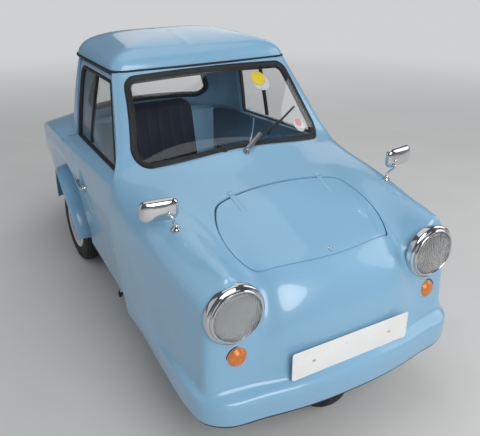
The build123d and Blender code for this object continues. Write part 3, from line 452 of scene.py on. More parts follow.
# Windows and lids, in mm
SCREEN_CORNERS = [(-476, 891), (-398, 1213), (398, 1213), (476, 891)]
SCREEN_ARCH = 48
SCREEN_RADIUS = 62
BACK_CORNERS = [(-384, 905), (-306, 1120), (306, 1120), (384, 905)]
BACK_RADIUS = 60


def arched_outline(corners, radius, arch, inset=0.0, brow=0.0, waist=0.0):
    """Rounded window outline with arched foot and top and drawn-in sides, as pairs in metres."""
    left_low, left_top, right_top, right_low = corners
    flat = [
        (left_low[0] + inset, left_low[1] + inset),
        (left_top[0] + inset * 0.9, left_top[1] - inset),
        (right_top[0] - inset * 0.9, right_top[1] - inset),
        (right_low[0] - inset, right_low[1] + inset),
    ]
    outline = rounded_outline([(a * MM, b * MM) for a, b in flat], (radius - inset) * MM)
    half = corners[3][0] * MM
    low, high = corners[0][1] * MM, corners[1][1] * MM
    result = []
    for a, b in resampled(outline, 160):
        share = max(0.0, 1 - (b - low) / (high - low))
        crown = max(0.0, 1 - (a / half) ** 2)
        rise = (arch * share + brow * (1 - share)) * MM * crown
        result.append((a * (1 - waist * 4 * share * (1 - share)), b + rise))
    return result


def screen_outline(inset=0.0):
    """Outline of the windscreen."""
    return arched_outline(SCREEN_CORNERS, SCREEN_RADIUS, SCREEN_ARCH, inset, 12, 0.02)


def arc_at(p, q, r, shares):
    """Points on the arc through three points, at shares of its length."""
    (ax, ay), (bx, by), (cx, cy) = p, q, r
    d = 2 * (ax * (by - cy) + bx * (cy - ay) + cx * (ay - by))
    if abs(d) < 1e-6:
        return [(ax + (cx - ax) * t, ay + (cy - ay) * t) for t in shares]
    a2, b2, c2 = ax**2 + ay**2, bx**2 + by**2, cx**2 + cy**2
    ux = (a2 * (by - cy) + b2 * (cy - ay) + c2 * (ay - by)) / d
    uy = (a2 * (cx - bx) + b2 * (ax - cx) + c2 * (bx - ax)) / d
    start, middle, end = (math.atan2(y - uy, x - ux) for x, y in (p, q, r))
    radius = math.hypot(ax - ux, ay - uy)
    turn = (end - start) % (2 * math.pi)
    if (middle - start) % (2 * math.pi) > turn:
        turn -= 2 * math.pi
    return [(ux + radius * math.cos(start + turn * t), uy + radius * math.sin(start + turn * t)) for t in shares]


def lid_outline(rows, bow, inset=0.0):
    """Plan outline of a lid from its rear, middle and front half widths, in metres."""
    (y0, x0), (y1, x1), (y2, x2) = rows
    sign = 1 if y2 > y0 else -1
    rear, mid, front = (x0 - inset, y0 + sign * inset), (x1 - inset, y1), (x2 - inset, y2 - sign * inset)
    side = [t / 24 for t in range(24)]
    end = [t / 40 for t in range(40)]
    outline = arc_at(rear, mid, front, side)
    outline += arc_at(front, (0, y2 + sign * (bow - inset)), (-front[0], front[1]), end)
    outline += arc_at((-front[0], front[1]), (-mid[0], mid[1]), (-rear[0], rear[1]), side)
    outline += arc_at((-rear[0], rear[1]), (0, y0 - sign * (bow - inset)), rear, end)
    return [(x * MM, y * MM) for x, y in outline]


def softened(outline, rounds, count=180):
    """Outline with its corners rounded by averaging."""
    pts = resampled(outline, count)
    for _ in range(rounds):
        near = zip(pts[-1:] + pts[:-1], pts, pts[1:] + pts[:1])
        pts = [((a[0] + 2 * b[0] + c[0]) / 4, (a[1] + 2 * b[1] + c[1]) / 4) for a, b, c in near]
    return pts


# Lids: y and half width at the rear, the middle and the front, and the bow of both ends, in mm
BONNET_PLAN = [(-862, 286), (-1040, 338), (-1182, 290)]
ENGINE_PLAN = [(1268, 300), (1000, 366), (760, 372)]
LID_BOW = 42


def edge_loop(obj, start, end):
    """Points and normals along the open edge of a sheet, from near one place to near another."""
    bm = bmesh.new()
    bm.from_mesh(obj.data)
    bm.normal_update()
    rim = {v for e in bm.edges if e.is_boundary for v in e.verts}
    here = min(rim, key=lambda v: (v.co - Vector(start)).length)
    last = min(rim, key=lambda v: (v.co - Vector(end)).length)
    ways = []
    for first in [e for e in here.link_edges if e.is_boundary]:
        path = [here]
        edge = first
        while path[-1] is not last and len(path) < 4000:
            path.append(edge.other_vert(path[-1]))
            edge = next(e for e in path[-1].link_edges if e.is_boundary and e is not edge)
        ways.append(path)
    path = min(ways, key=len)
    result = [v.co.copy() for v in path], [v.normal.copy() for v in path]
    bm.free()
    return result


def turned(name, profile, centre, axis=(0, -1, 0), segments=64):
    """Turned piece from (radius, along) pairs about an axis through a centre, in metres."""
    along = Vector(axis).normalized()
    side = along.orthogonal().normalized()
    up = along.cross(side)
    points = []
    for i in range(segments):
        a = 2 * math.pi * i / segments
        out = side * math.cos(a) + up * math.sin(a)
        points += [Vector(centre) + out * r + along * t for r, t in profile]
    m = len(profile)
    faces = []
    for i in range(segments):
        j = (i + 1) % segments
        faces += [(i * m + k, j * m + k, j * m + k + 1, i * m + k + 1) for k in range(m - 1)]
    obj = new_object(name, points, faces)
    outward(obj, 0.00002)
    close_holes(obj)
    return obj


def close_holes(obj):
    """Fills the open ends of a mesh and turns its faces outwards."""
    make_active(obj)
    bpy.ops.object.mode_set(mode="EDIT")
    bpy.ops.mesh.select_all(action="DESELECT")
    bpy.ops.mesh.select_mode(type="EDGE")
    bpy.ops.mesh.select_non_manifold(
        extend=False, use_wire=False, use_multi_face=False, use_non_contiguous=False, use_verts=False
    )
    bpy.ops.mesh.edge_face_add()
    bpy.ops.mesh.select_all(action="SELECT")
    bpy.ops.mesh.normals_make_consistent(inside=False)
    bpy.ops.object.mode_set(mode="OBJECT")


def layered(name, layers, outline, centre, across, up, out):
    """Closed cushion-like form: the outline scaled and set off by each (scale, height) layer."""
    across, up, out = Vector(across), Vector(up), Vector(out)
    n = len(outline)
    points = []
    for scale, height in layers:
        points += [Vector(centre) + across * (a * scale) + up * (b * scale) + out * height for a, b in outline]
    faces = ring_faces(len(layers), n)
    faces.append(tuple(range(n - 1, -1, -1)))
    top = (len(layers) - 1) * n
    faces.append(tuple(range(top, top + n)))
    obj = new_object(name, points, faces)
    outward(obj, 0.00001)
    smooth_by_angle(obj, 40)
    return obj


def tube(name, path, radius):
    """Round bar along points in metres, through a smooth curve."""
    points = smooth_path(path, 10)
    last = len(points) - 1
    normal = (points[1] - points[0]).orthogonal().normalized()
    normals = []
    for i in range(len(points)):
        tangent = (points[min(i + 1, last)] - points[max(i - 1, 0)]).normalized()
        normal = (normal - tangent * normal.dot(tangent)).normalized()
        normals.append(normal.copy())
    return sweep(name, points, normals, round_profile(radius, radius, 14), False)


def smooth_path(path, steps):
    """Points on a smooth curve through the given points."""
    pts = [Vector(p) for p in path]
    if len(pts) < 3:
        return pts
    pts = [pts[0] * 2 - pts[1]] + pts + [pts[-1] * 2 - pts[-2]]
    result = []
    for i in range(1, len(pts) - 2):
        p0, p1, p2, p3 = pts[i - 1 : i + 3]
        for k in range(steps):
            t = k / steps
            square, cube = 2 * p0 - 5 * p1 + 4 * p2 - p3, 3 * p1 - p0 - 3 * p2 + p3
            result.append(0.5 * (2 * p1 + (p2 - p0) * t + square * t * t + cube * t**3))
    result.append(pts[-2])
    return result


def ring_panel(name, outer, inner, place, thickness):
    """Flat frame between two outlines with equal counts; place(a, b, depth) gives each point."""
    n = len(outer)
    points = []
    for depth in (0.0, thickness):
        points += [place(a, b, depth) for a, b in outer]
        points += [place(a, b, depth) for a, b in inner]
    faces = []
    for i in range(n):
        j = (i + 1) % n
        faces.append((i, j, n + j, n + i))
        faces.append((2 * n + i, 3 * n + i, 3 * n + j, 2 * n + j))
        faces.append((i, 2 * n + i, 2 * n + j, j))
        faces.append((n + i, n + j, 3 * n + j, 3 * n + i))
    obj = new_object(name, points, faces, smooth=False)
    outward(obj)
    apply_modifier(obj, "BEVEL", width=0.002, segments=2, limit_method="ANGLE", angle_limit=math.radians(40))
    smooth_by_angle(obj, 40)
    return obj


def thickened(obj, thickness):
    """Gives a sheet its wall, inwards."""
    apply_modifier(obj, "SOLIDIFY", thickness=thickness, offset=-1, use_even_offset=True)


def moved_in(obj, distance):
    """Moves every point of a sheet against its normal."""
    bm = bmesh.new()
    bm.from_mesh(obj.data)
    bm.normal_update()
    steps = [v.normal * distance for v in bm.verts]
    for v, step in zip(bm.verts, steps):
        v.co -= step
    bm.to_mesh(obj.data)
    bm.free()


def cropped(obj, test):
    """Keeps only the faces whose middle passes the test."""
    bm = bmesh.new()
    bm.from_mesh(obj.data)
    gone = [f for f in bm.faces if not test(f.calc_center_median())]
    bmesh.ops.delete(bm, geom=gone, context="FACES")
    bm.to_mesh(obj.data)
    bm.free()


def copied(obj, name):
    """Copy of an object with its own mesh."""
    twin = obj.copy()
    twin.data = obj.data.copy()
    twin.name = name
    bpy.context.collection.objects.link(twin)
    return twin


def mirrored(obj, name):
    """The same piece on the other side of the car."""
    twin = copied(obj, name)
    twin.data.transform(Matrix.Diagonal((-1, 1, 1, 1)))
    twin.data.flip_normals()
    return twin


def finish(obj, body, slot, *nodes, look=None):
    """Rides on its body, takes its slot and finish, and stands for the CAD nodes named."""
    obj.data.materials.clear()
    obj.data.materials.append(FINISHES[look or slot])
    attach(obj, body)
    if nodes:
        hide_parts(*nodes)


# Finishes


def shader(name):
    """New node material: the material, its nodes, its links and its shader."""
    material = bpy.data.materials.new(name)
    material.use_nodes = True
    nodes = material.node_tree.nodes
    return material, nodes, material.node_tree.links, nodes["Principled BSDF"]


def noise(nodes, links, scale, detail=3.0):
    """Noise texture on object coordinates."""
    place = nodes.new("ShaderNodeTexCoord")
    tex = nodes.new("ShaderNodeTexNoise")
    tex.inputs["Scale"].default_value = scale
    tex.inputs["Detail"].default_value = detail
    links.new(place.outputs["Object"], tex.inputs["Vector"])
    return tex


def ramp(nodes, links, source, stops):
    """Colour ramp on a factor; stops are (place, colour)."""
    node = nodes.new("ShaderNodeValToRGB")
    while len(node.color_ramp.elements) < len(stops):
        node.color_ramp.elements.new(0.5)
    for element, (place, colour) in zip(node.color_ramp.elements, stops):
        element.position = place
        element.color = (*colour, 1)
    links.new(source, node.inputs["Fac"])
    return node


def bump(nodes, links, shade, source, strength, distance=0.001, previous=None):
    """Bump from a height, added to the shader's normal."""
    node = nodes.new("ShaderNodeBump")
    node.inputs["Strength"].default_value = strength
    node.inputs["Distance"].default_value = distance
    links.new(source, node.inputs["Height"])
    if previous:
        links.new(previous.outputs["Normal"], node.inputs["Normal"])
    links.new(node.outputs["Normal"], shade.inputs["Normal"])
    return node


def scaled(colour, factor):
    """A colour made lighter or darker."""
    return tuple(min(1.0, c * factor) for c in colour)


def worn_finish(name, colour, rough, vary=0.12, scale=6.0, grain=400.0, grain_depth=0.0002, **sockets):
    """Painted, moulded or cast surface with a little colour, gloss and grain variation."""
    material, nodes, links, shade = shader(name)
    tone = noise(nodes, links, scale, 4.0)
    mix = ramp(nodes, links, tone.outputs["Fac"], [(0.35, scaled(colour, 1 - vary)), (0.65, scaled(colour, 1 + vary))])
    links.new(mix.outputs["Color"], shade.inputs["Base Color"])
    gloss = noise(nodes, links, scale * 3, 5.0)
    spread = ramp(nodes, links, gloss.outputs["Fac"], [(0.3, (rough * 0.85,) * 3), (0.75, (min(1, rough * 1.2),) * 3)])
    links.new(spread.outputs["Color"], shade.inputs["Roughness"])
    fine = noise(nodes, links, grain, 2.0)
    bump(nodes, links, shade, fine.outputs["Fac"], 0.25, grain_depth)
    for key, value in sockets.items():
        shade.inputs[key.replace("_", " ")].default_value = value
    return material


def body_paint(name, colour):
    """Gloss paint over moulded body panels: soft waviness, faint dust and a clear coat."""
    material, nodes, links, shade = shader(name)
    tone = noise(nodes, links, 2.2, 3.0)
    mix = ramp(nodes, links, tone.outputs["Fac"], [(0.3, scaled(colour, 0.95)), (0.7, scaled(colour, 1.04))])
    links.new(mix.outputs["Color"], shade.inputs["Base Color"])
    gloss = noise(nodes, links, 9.0, 5.0)
    spread = ramp(nodes, links, gloss.outputs["Fac"], [(0.3, (0.30,) * 3), (0.8, (0.42,) * 3)])
    links.new(spread.outputs["Color"], shade.inputs["Roughness"])
    wave = noise(nodes, links, 7.0, 2.0)
    slow = bump(nodes, links, shade, wave.outputs["Fac"], 0.10, 0.004)
    peel = noise(nodes, links, 420.0, 1.0)
    bump(nodes, links, shade, peel.outputs["Fac"], 0.06, 0.0002, slow)
    shade.inputs["Coat Weight"].default_value = 0.7
    shade.inputs["Coat Roughness"].default_value = 0.06
    return material


def chrome_finish(name, colour=(0.66, 0.67, 0.69), rough=0.07):
    """Plated metal with faint haze."""
    return worn_finish(name, colour, rough, 0.04, 12.0, 700.0, 0.00005, Metallic=1.0)


def glass_finish(name, colour, rough=0.01):
    """Thin clear glass: clear when faced, mirror-like when seen along, with faint smears."""
    material, nodes, links, shade = shader(name)
    smear = noise(nodes, links, 5.0, 6.0)
    spread = ramp(nodes, links, smear.outputs["Fac"], [(0.4, (rough,) * 3), (0.8, (rough + 0.03,) * 3)])
    links.new(spread.outputs["Color"], shade.inputs["Roughness"])
    shade.inputs["Base Color"].default_value = (*colour, 1)
    shade.inputs["Metallic"].default_value = 1.0
    slant = nodes.new("ShaderNodeLayerWeight")
    slant.inputs["Blend"].default_value = 0.5
    steep = nodes.new("ShaderNodeMath")
    steep.operation = "POWER"
    steep.inputs[1].default_value = 5.0
    links.new(slant.outputs["Facing"], steep.inputs[0])
    cover = nodes.new("ShaderNodeMath")
    cover.operation = "MULTIPLY_ADD"
    cover.inputs[1].default_value = 0.75
    cover.inputs[2].default_value = 0.05
    links.new(steep.outputs[0], cover.inputs[0])
    links.new(cover.outputs[0], shade.inputs["Alpha"])
    return material


def fluted_glass(name):
    """Headlamp glass with upright flutes crossed by fine bands."""
    material, nodes, links, shade = shader(name)
    place = nodes.new("ShaderNodeTexCoord")
    heights = []
    for direction, scale in (("X", 36.0), ("Z", 11.0)):
        wave = nodes.new("ShaderNodeTexWave")
        wave.bands_direction = direction
        wave.inputs["Scale"].default_value = scale
        wave.inputs["Distortion"].default_value = 0.4
        links.new(place.outputs["Object"], wave.inputs["Vector"])
        heights.append(wave)
    first = bump(nodes, links, shade, heights[0].outputs["Fac"], 0.8, 0.0012)
    bump(nodes, links, shade, heights[1].outputs["Fac"], 0.4, 0.0010, first)
    shade.inputs["Base Color"].default_value = (0.78, 0.80, 0.78, 1)
    shade.inputs["Roughness"].default_value = 0.08
    shade.inputs["Transmission Weight"].default_value = 1.0
    shade.inputs["IOR"].default_value = 1.3
    shade.inputs["Alpha"].default_value = 0.75
    return material


def vinyl_finish(name, colour):
    """Grained seat vinyl."""
    material, nodes, links, shade = shader(name)
    place = nodes.new("ShaderNodeTexCoord")
    cell = nodes.new("ShaderNodeTexVoronoi")
    cell.inputs["Scale"].default_value = 320.0
    links.new(place.outputs["Object"], cell.inputs["Vector"])
    tone = noise(nodes, links, 8.0, 4.0)
    mix = ramp(nodes, links, tone.outputs["Fac"], [(0.3, scaled(colour, 0.8)), (0.7, scaled(colour, 1.35))])
    links.new(mix.outputs["Color"], shade.inputs["Base Color"])
    shade.inputs["Roughness"].default_value = 0.5
    shade.inputs["Specular IOR Level"].default_value = 0.15
    bump(nodes, links, shade, cell.outputs["Distance"], 0.35, 0.0006)
    return material


def make_finishes(colours):
    """All finishes of the car, by name."""
    paint = tuple(colours.paint)
    FINISHES.update(
        body_paint=body_paint("light_blue_paint", paint),
        # Inner paint: the body paint made a tenth lighter, painted light that makes the cabin and the lid channels look
        # brighter than the light reaching them
        inner_paint=worn_finish("inner_blue_paint_painted_light", scaled(paint, 1.1), 0.5, 0.08, 5.0, 300.0, 0.0003),
        black_rubber=worn_finish("black_rubber", (0.012, 0.012, 0.013), 0.5, 0.3, 20.0, 500.0, 0.0003),
        chrome=chrome_finish("chrome"),
        clear_glass=glass_finish("window_glass", (0.80, 0.87, 0.86)),
        lamp_glass=fluted_glass("fluted_lamp_glass"),
        amber_lens=worn_finish(
            "amber_lens", tuple(colours.amber), 0.15, 0.12, 60.0, 260.0, 0.0006, Coat_Weight=0.8, Coat_Roughness=0.05
        ),
        red_lens=worn_finish(
            "red_lens", tuple(colours.red), 0.15, 0.12, 60.0, 260.0, 0.0006, Coat_Weight=0.8, Coat_Roughness=0.05
        ),
        tyre_rubber=worn_finish("tyre_rubber", (0.022, 0.022, 0.022), 0.75, 0.3, 25.0, 300.0, 0.0005),
        wheel_paint=worn_finish("wheel_silver_paint", tuple(colours.wheel), 0.38, 0.06, 14.0, 500.0, 0.0002),
        black_steel=worn_finish("black_steel_paint", (0.02, 0.02, 0.022), 0.42, 0.25, 12.0, 350.0, 0.0003),
        engine_metal=worn_finish("cast_engine_metal", (0.42, 0.43, 0.44), 0.5, 0.15, 18.0, 220.0, 0.0006, Metallic=1.0),
        pipe_steel=worn_finish("exhaust_steel", (0.26, 0.24, 0.22), 0.48, 0.3, 16.0, 260.0, 0.0004, Metallic=1.0),
        seat_vinyl=vinyl_finish("navy_seat_vinyl", tuple(colours.seat)),
        mirror_face=chrome_finish("mirror_glass_face", (0.7, 0.72, 0.74), 0.02),
        reflector=chrome_finish("lamp_reflector", (0.52, 0.52, 0.50), 0.16),
        satin_metal=chrome_finish("satin_wiper_metal", (0.42, 0.43, 0.44), 0.32),
        sticker_yellow=worn_finish("yellow_sticker", (0.80, 0.62, 0.03), 0.4, 0.04, 30.0, 300.0, 0.00005),
        sticker_white=worn_finish("white_sticker", (0.62, 0.66, 0.68), 0.4, 0.06, 30.0, 300.0, 0.00005),
        sticker_red=worn_finish("red_sticker", (0.62, 0.16, 0.20), 0.4, 0.10, 60.0, 300.0, 0.00005),
        plate_white=worn_finish("white_plate", tuple(colours.plate), 0.32, 0.03, 10.0, 300.0, 0.0001),
        dash_plastic=worn_finish("black_dash_plastic", (0.03, 0.03, 0.033), 0.5, 0.2, 14.0, 500.0, 0.0003),
    )


def dress_cad_nodes():
    """Gives every CAD node that still shows its finish, by the record's slots."""
    for part in frame["record"]["subparts"]:
        obj = frame["nodes"].get(part["node"])
        if obj is None:
            continue
        material = FINISHES[part["material_slot"]]
        if not obj.material_slots:
            obj.data.materials.append(material)
        for place in obj.material_slots:
            place.material = material


# Front body


LID_GAP = 5
# The lid stops short of its opening at the rear, so that it swings up clear of the shell
BONNET_LID_PLAN = [(-867, 286)] + BONNET_PLAN[1:]
# Ends of the front shell's edge along the door
FRONT_EDGE = ((0.464, -0.331, 1.080), (0.541, -0.512, 0.262))
JAMB_SHIFT = (0.005, -0.052)
JAMB_SECTION = [(-0.001, 0), (0.001, 0), (0.001, -0.075), (-0.001, -0.075)]
# Bonnet straps, split at the hinge line: x, y and height over the panel, in metres
STRAP_ON_LID = [
    (0.203, -0.843, 0.005), (0.202, -0.87, 0.0045), (0.201, -0.90, 0.004), (0.200, -0.925, 0.0035),
    (0.199, -0.942, 0.0005),
]
STRAP_ON_SHELL = [(0.204, -0.812, 0.0), (0.2035, -0.826, 0.0045), (0.203, -0.840, 0.005)]
STRAP_SECTION = [
    (-0.012, 0), (-0.0115, 0.003), (-0.008, 0.0045), (0.008, 0.0045), (0.0115, 0.003), (0.012, 0),
    (0.011, -0.004), (-0.011, -0.004),
]
LOCK_PLACE = (0, -1.196)
LOCK_PROFILE = [
    (0.0, -0.004), (0.015, -0.004), (0.016, 0.002), (0.014, 0.005), (0.009, 0.0065), (0.0085, 0.004), (0.0, 0.004),
]


def front_sheet(name):
    """Smooth outer surface of the front body."""
    return body_surface(name, SCREEN_ROWS + BONNET_ROWS, NOSE_ROWS, FLANK_ROWS, len(SCREEN_ROWS))


def lid_channel(name, tree, outline):
    """Flat strip under a lid's gap, so that the gap doesn't look through."""
    wide, thick, depth = 0.016, 0.002, 0.017
    path, normals = from_above(tree, outline)
    path = [p - n * depth for p, n in zip(path, normals)]
    strip = sweep(name, path, normals, [(-wide, 0), (wide, 0), (wide, thick), (-wide, thick)])
    finish(strip, "car", "inner_paint")


def lid_bead(name, tree, outline, radius, sunk=0.0):
    """Rounded bead along the edge of a lid."""
    path, normals = from_above(tree, outline)
    path = [p - n * sunk for p, n in zip(path, normals)]
    return sweep(name, path, normals, round_profile(radius, radius * 0.9, 10))


def front_lips(sheet):
    """Rolled lips of the front shell at the doors, and the jamb walls in front of them."""
    lip_path, lip_normals = edge_loop(sheet, *FRONT_EDGE)
    lips = []
    for side in (1, -1):
        path = [Vector((side * p.x, p.y, p.z)) for p in lip_path]
        normals = [Vector((side * n.x, n.y, n.z)) for n in lip_normals]
        low = [p for p in path if p.z < 0.86][::4]
        wall = [p + Vector((-side * JAMB_SHIFT[0], JAMB_SHIFT[1], 0)) for p in low]
        path, normals = path[::2] + [path[-1]], normals[::2] + [normals[-1]]
        lips.append(sweep("lip", path, normals, round_profile(0.0045, 0.0065, 10), False))
        lips.append(sweep("jamb", wall, [(side, 0, 0)] * len(wall), JAMB_SECTION, False))
    return lips


def bonnet_straps(tree, places):
    """One part of the two bonnet straps."""
    straps = []
    for side in (1, -1):
        line, out = from_above(tree, [(side * x, y) for x, y, _ in places])
        line = smooth_path([p + n * lift for p, n, (_, _, lift) in zip(line, out, places)], 6)
        strap = sweep("strap", line, [out[0]] * len(line), STRAP_SECTION, False)
        smooth_by_angle(strap, 50)
        straps.append(strap)
    return straps


def make_front_body(body):
    """Nose, wings, ledge and windscreen frame with their openings, and the bonnet lid."""
    sheet = front_sheet("front_sheet")
    tree = surface_tree(sheet)
    shell = copied(sheet, "front_body")
    thickened(shell, body.skin)
    lid_edge = softened(lid_outline(BONNET_PLAN, LID_BOW), 5)
    lid_inner = softened(lid_outline(BONNET_LID_PLAN, LID_BOW, LID_GAP), 5)
    lid = copied(sheet, "bonnet_lid_panel")
    cropped(lid, lambda c: c.z > 0.6 and abs(c.x) < 0.40 and c.y < -0.78)
    thickened(lid, body.skin)
    boolean(lid, prism("lid_keep", lid_inner, "Z", 0.5, 1.1), "INTERSECT")
    boolean(shell, prism("lid_hole", lid_edge, "Z", 0.62, 1.1))
    boolean(shell, prism("screen_hole", screen_outline(), "Y", -0.75, -0.05))
    for panel in (shell, lid):
        smooth_by_angle(panel, 38)
    shell = join([shell] + front_lips(sheet) + bonnet_straps(tree, STRAP_ON_SHELL), "front_body")
    finish(shell, "car", "body_paint", "front_shell")

    bead = lid_bead("lid_bead", tree, lid_inner, body.bead, 0.0005)
    lid = join([lid, bead] + bonnet_straps(tree, STRAP_ON_LID), "bonnet_lid_panel")
    finish(lid, "bonnet", "body_paint", "bonnet_lid")
    lid_channel("bonnet_channel", tree, lid_edge)

    (spot,), (out,) = from_above(tree, [LOCK_PLACE])
    finish(turned("bonnet_lock", LOCK_PROFILE, spot, out, 32), "bonnet", "chrome")
    remove(sheet)
    return tree


# Glass and seals

# Rubber seal, from its outer lip inwards over the glass
SEAL_PROFILE = [
    (-0.002, -0.012), (-0.002, 0.002), (0.001, 0.006), (0.008, 0.008), (0.016, 0.0075), (0.0195, 0.0045),
    (0.0215, 0.0045), (0.025, 0.006), (0.029, 0.004), (0.031, -0.002), (0.031, -0.012),
]
# Stickers on the inside of the glass: name, x, z, radius and depth in mm, and finish
STICKERS = [
    ("round_sticker_front", 237, 1165, 37, 10.5, "sticker_yellow"),
    ("round_sticker_rear", 244, 1150, 43, 12.5, "sticker_white"),
    ("corner_sticker", 370, 964, 33, 12.5, "sticker_white"),
    ("corner_sticker_band", 369, 974, 20, 11.0, "sticker_red"),
]
STICKER_THICK = 0.0006


def window_glass(pane, name, outline, low, high, crop, depth):
    """Turns a sheet of the body's surface into the pane of a window, a little way in."""
    cropped(pane, crop)
    moved_in(pane, depth)
    thickened(pane, 0.004)
    boolean(pane, prism("pane_keep", outline, "Y", low, high), "INTERSECT")
    smooth_by_angle(pane, 60)
    pane.name = name
    return pane


def make_windscreen(tree):
    """Windscreen glass with its rubber seal and the stickers behind it."""
    seal = sweep("windscreen_rubber", *from_front(tree, screen_outline()), SEAL_PROFILE)
    smooth_by_angle(seal, 50)
    finish(seal, "car", "black_rubber", "windscreen_seal")
    sheet = front_sheet("glass_sheet")
    pane = window_glass(sheet, "windscreen_pane", screen_outline(20), -0.75, -0.05, lambda c: c.z > 0.88, 0.004)
    finish(pane, "car", "clear_glass", "windscreen_glass")
    for name, x, z, radius, depth, look in STICKERS:
        (spot,), (out,) = from_front(tree, [(x * MM, z * MM)])
        profile = [(0, 0), (radius * MM, 0), (radius * MM, STICKER_THICK), (0, STICKER_THICK)]
        disc = turned(name, profile, spot - out * depth * MM, out, 48)
        smooth_by_angle(disc, 50)
        finish(disc, "car", "plate_white", look=look)


# Tail

# Place along the car, then foot x, hip x and z, waist x and z, bulge x and z, shoulder x and z, and deck z, in mm
TAIL_SECTIONS = [
    (240, 474, 490, 470, 522, 640, 547, 745, 548, 836, 884),
    (560, 452, 462, 470, 492, 634, 541, 738, 542, 828, 880),
    (900, 440, 452, 430, 470, 570, 500, 660, 498, 745, 812),
    (1220, 408, 420, 370, 432, 460, 444, 530, 430, 596, 668),
    (1388, 360, 372, 330, 382, 390, 388, 440, 366, 486, 540),
]
TAIL_YS = [256, 330, 430, 560, 730, 900, 1060, 1210, 1320, 1382]
DECK_SHARES = [0.5, 0.58, 0.67, 0.76, 0.85, 0.93, 1.0]
TAIL_FOOT_Z = 262


def tail_section(y):
    """Smoothly read sizes of the tail at one place."""
    table = np.array(TAIL_SECTIONS, dtype=float)
    places = table[:, 0] / 1000
    return [float(np.polyval(np.polyfit(places, table[:, k], 3), y / 1000)) for k in range(1, table.shape[1])]


def flank_points(section):
    """Points down one flank from below the shoulder to the foot."""
    foot, hx, hz, wx, wz, bx, bz, sx, sz, _ = section
    upper = arc_at((sx, sz), (bx, bz), (wx, wz), [0.16, 0.42, 0.7, 1.0])
    lower = arc_at((wx, wz), (hx, hz), (foot, TAIL_FOOT_Z), [0.25, 0.5, 0.75, 1.0])
    return upper + lower


def tail_sheet():
    """Smooth outer surface of the tail."""
    tops, flanks = [], []
    for y in TAIL_YS:
        section = tail_section(y)
        sx, sz, deck = section[7], section[8], section[9]
        tops.append([(x, y, z) for x, z in arc_at((-sx, sz), (0, deck), (sx, sz), DECK_SHARES)])
        flanks.append([(x, y, z) for x, z in flank_points(section)])
    edge = tops[-1][-1][0]
    ends = []
    for x, y, z in flanks[-1]:
        ends.append([(px * x / edge, 1386 + 10 * (1 - (px / edge) ** 2), z) for px, _, _ in tops[-1]])
    return body_surface("tail_sheet", tops, ends, flanks[:-1], 0, -1)


# Glass house: its side wall, drawn in towards the rear, and its rounded back
# Each pair of places is at the belt and at the gutter, in mm
BELT_Z = 870
GUTTER_Z = 1228
HOUSE_FRONT = ((524, -460), (424, -176))
HOUSE_REAR = ((473, 370), (424, 250))
HOUSE_CORNER = ([(474, 326), (453, 404), (390, 468)], [(418, 296), (385, 361), (300, 421)])
HOUSE_BACK_Y = (610, 430)
HOUSE_SWELL = 36
# Height, and how far the wall flares out there
HOUSE_ROWS = [(836, 26), (852, 10), (870, 3), (910, 0), (990, 0), (1080, 0), (1160, 0), (1230, 0)]


def blend(low, high, share):
    """Value between two, at a share."""
    return low + (high - low) * share


def house_side(y, z, depth=0.0):
    """How far out the side of the glass house stands, in metres."""
    share = (z / MM - BELT_Z) / (GUTTER_Z - BELT_Z)
    (x0, y0), (x1, y1) = [[blend(a, b, share) for a, b in zip(*ends)] for ends in (HOUSE_FRONT, HOUSE_REAR)]
    t = (y / MM - y0) / (y1 - y0)
    turned_in = max(0.0, (y0 - y / MM) / 42) ** 2 * 8
    swell = HOUSE_SWELL * max(0.0, share * (1 - share)) * max(0.0, t) ** 2
    return (blend(x0, x1, t) - turned_in + swell) * MM - depth


def house_normal(y, z):
    """Outward direction of the side of the glass house."""
    step = 0.005
    here = house_side(y, z)
    return Vector((1, -(house_side(y + step, z) - here) / step, -(house_side(y, z + step) - here) / step)).normalized()


def house_plan(z, grow=0.0):
    """Half plan of the rear glass house at a height: from the side round to the middle of the back."""
    share = (z - BELT_Z) / (GUTTER_Z - BELT_Z)
    corner = [tuple(blend(a, b, share) for a, b in zip(p, q)) for p, q in zip(*HOUSE_CORNER)]
    back = blend(*HOUSE_BACK_Y, share)
    swell = HOUSE_SWELL * max(0.0, share * (1 - share))
    corner = [(x + swell * k, y + swell * (1 - k)) for (x, y), k in zip(corner, (1, 0.8, 0.3))]
    side = house_side(0.256, z * MM) / MM
    plan = [(side, 256), (blend(side, corner[0][0], 0.5) + 1, blend(256, corner[0][1], 0.5))]
    plan += arc_at(*corner, [0, 0.36, 0.7, 1])
    plan += arc_at(corner[2], (0, back), (-corner[2][0], corner[2][1]), [0.11, 0.23, 0.36, 0.5])
    out = [1, 1, 1, 0.9, 0.75, 0.6, 0.4, 0.25, 0.1, 0]
    away = [0, 0, 0.1, 0.45, 0.7, 0.8, 0.9, 1, 1, 1]
    return [(x + grow * u, y + grow * v) for (x, y), u, v in zip(plan, out, away)]


def house_sheet():
    """Smooth outer surface of the rear pillars and the wall round the rear window."""
    rows = []
    for z, grow in HOUSE_ROWS:
        half = house_plan(z, grow)
        right = [(-x * MM, y * MM, z * MM) for x, y in half]
        rows.append(right + [(x * MM, y * MM, z * MM) for x, y in reversed(half[:-1])])
    cols = len(rows[0])
    points = [p for row in rows for p in row]
    faces = grid_faces(len(rows), cols, lambda r, c: r * cols + c)
    return fitted_surface("house_sheet", points, [tuple(reversed(f)) for f in faces])


# Axles in metres, and the rear wheel arches
AXLE_Z = 0.23
FRONT_AXLE_Y = -1.095
REAR_AXLE_Y = 0.56
HALF_TRACK = 0.436
ARCH_RADIUS = 0.348


def wheel_well(name, radius, low, high):
    """Closed disc across the car round the rear axle."""
    turns = [2 * math.pi * i / 96 for i in range(96)]
    outline = [(REAR_AXLE_Y + radius * math.cos(a), AXLE_Z + radius * math.sin(a)) for a in turns]
    return prism(name, outline, "X", low, high)


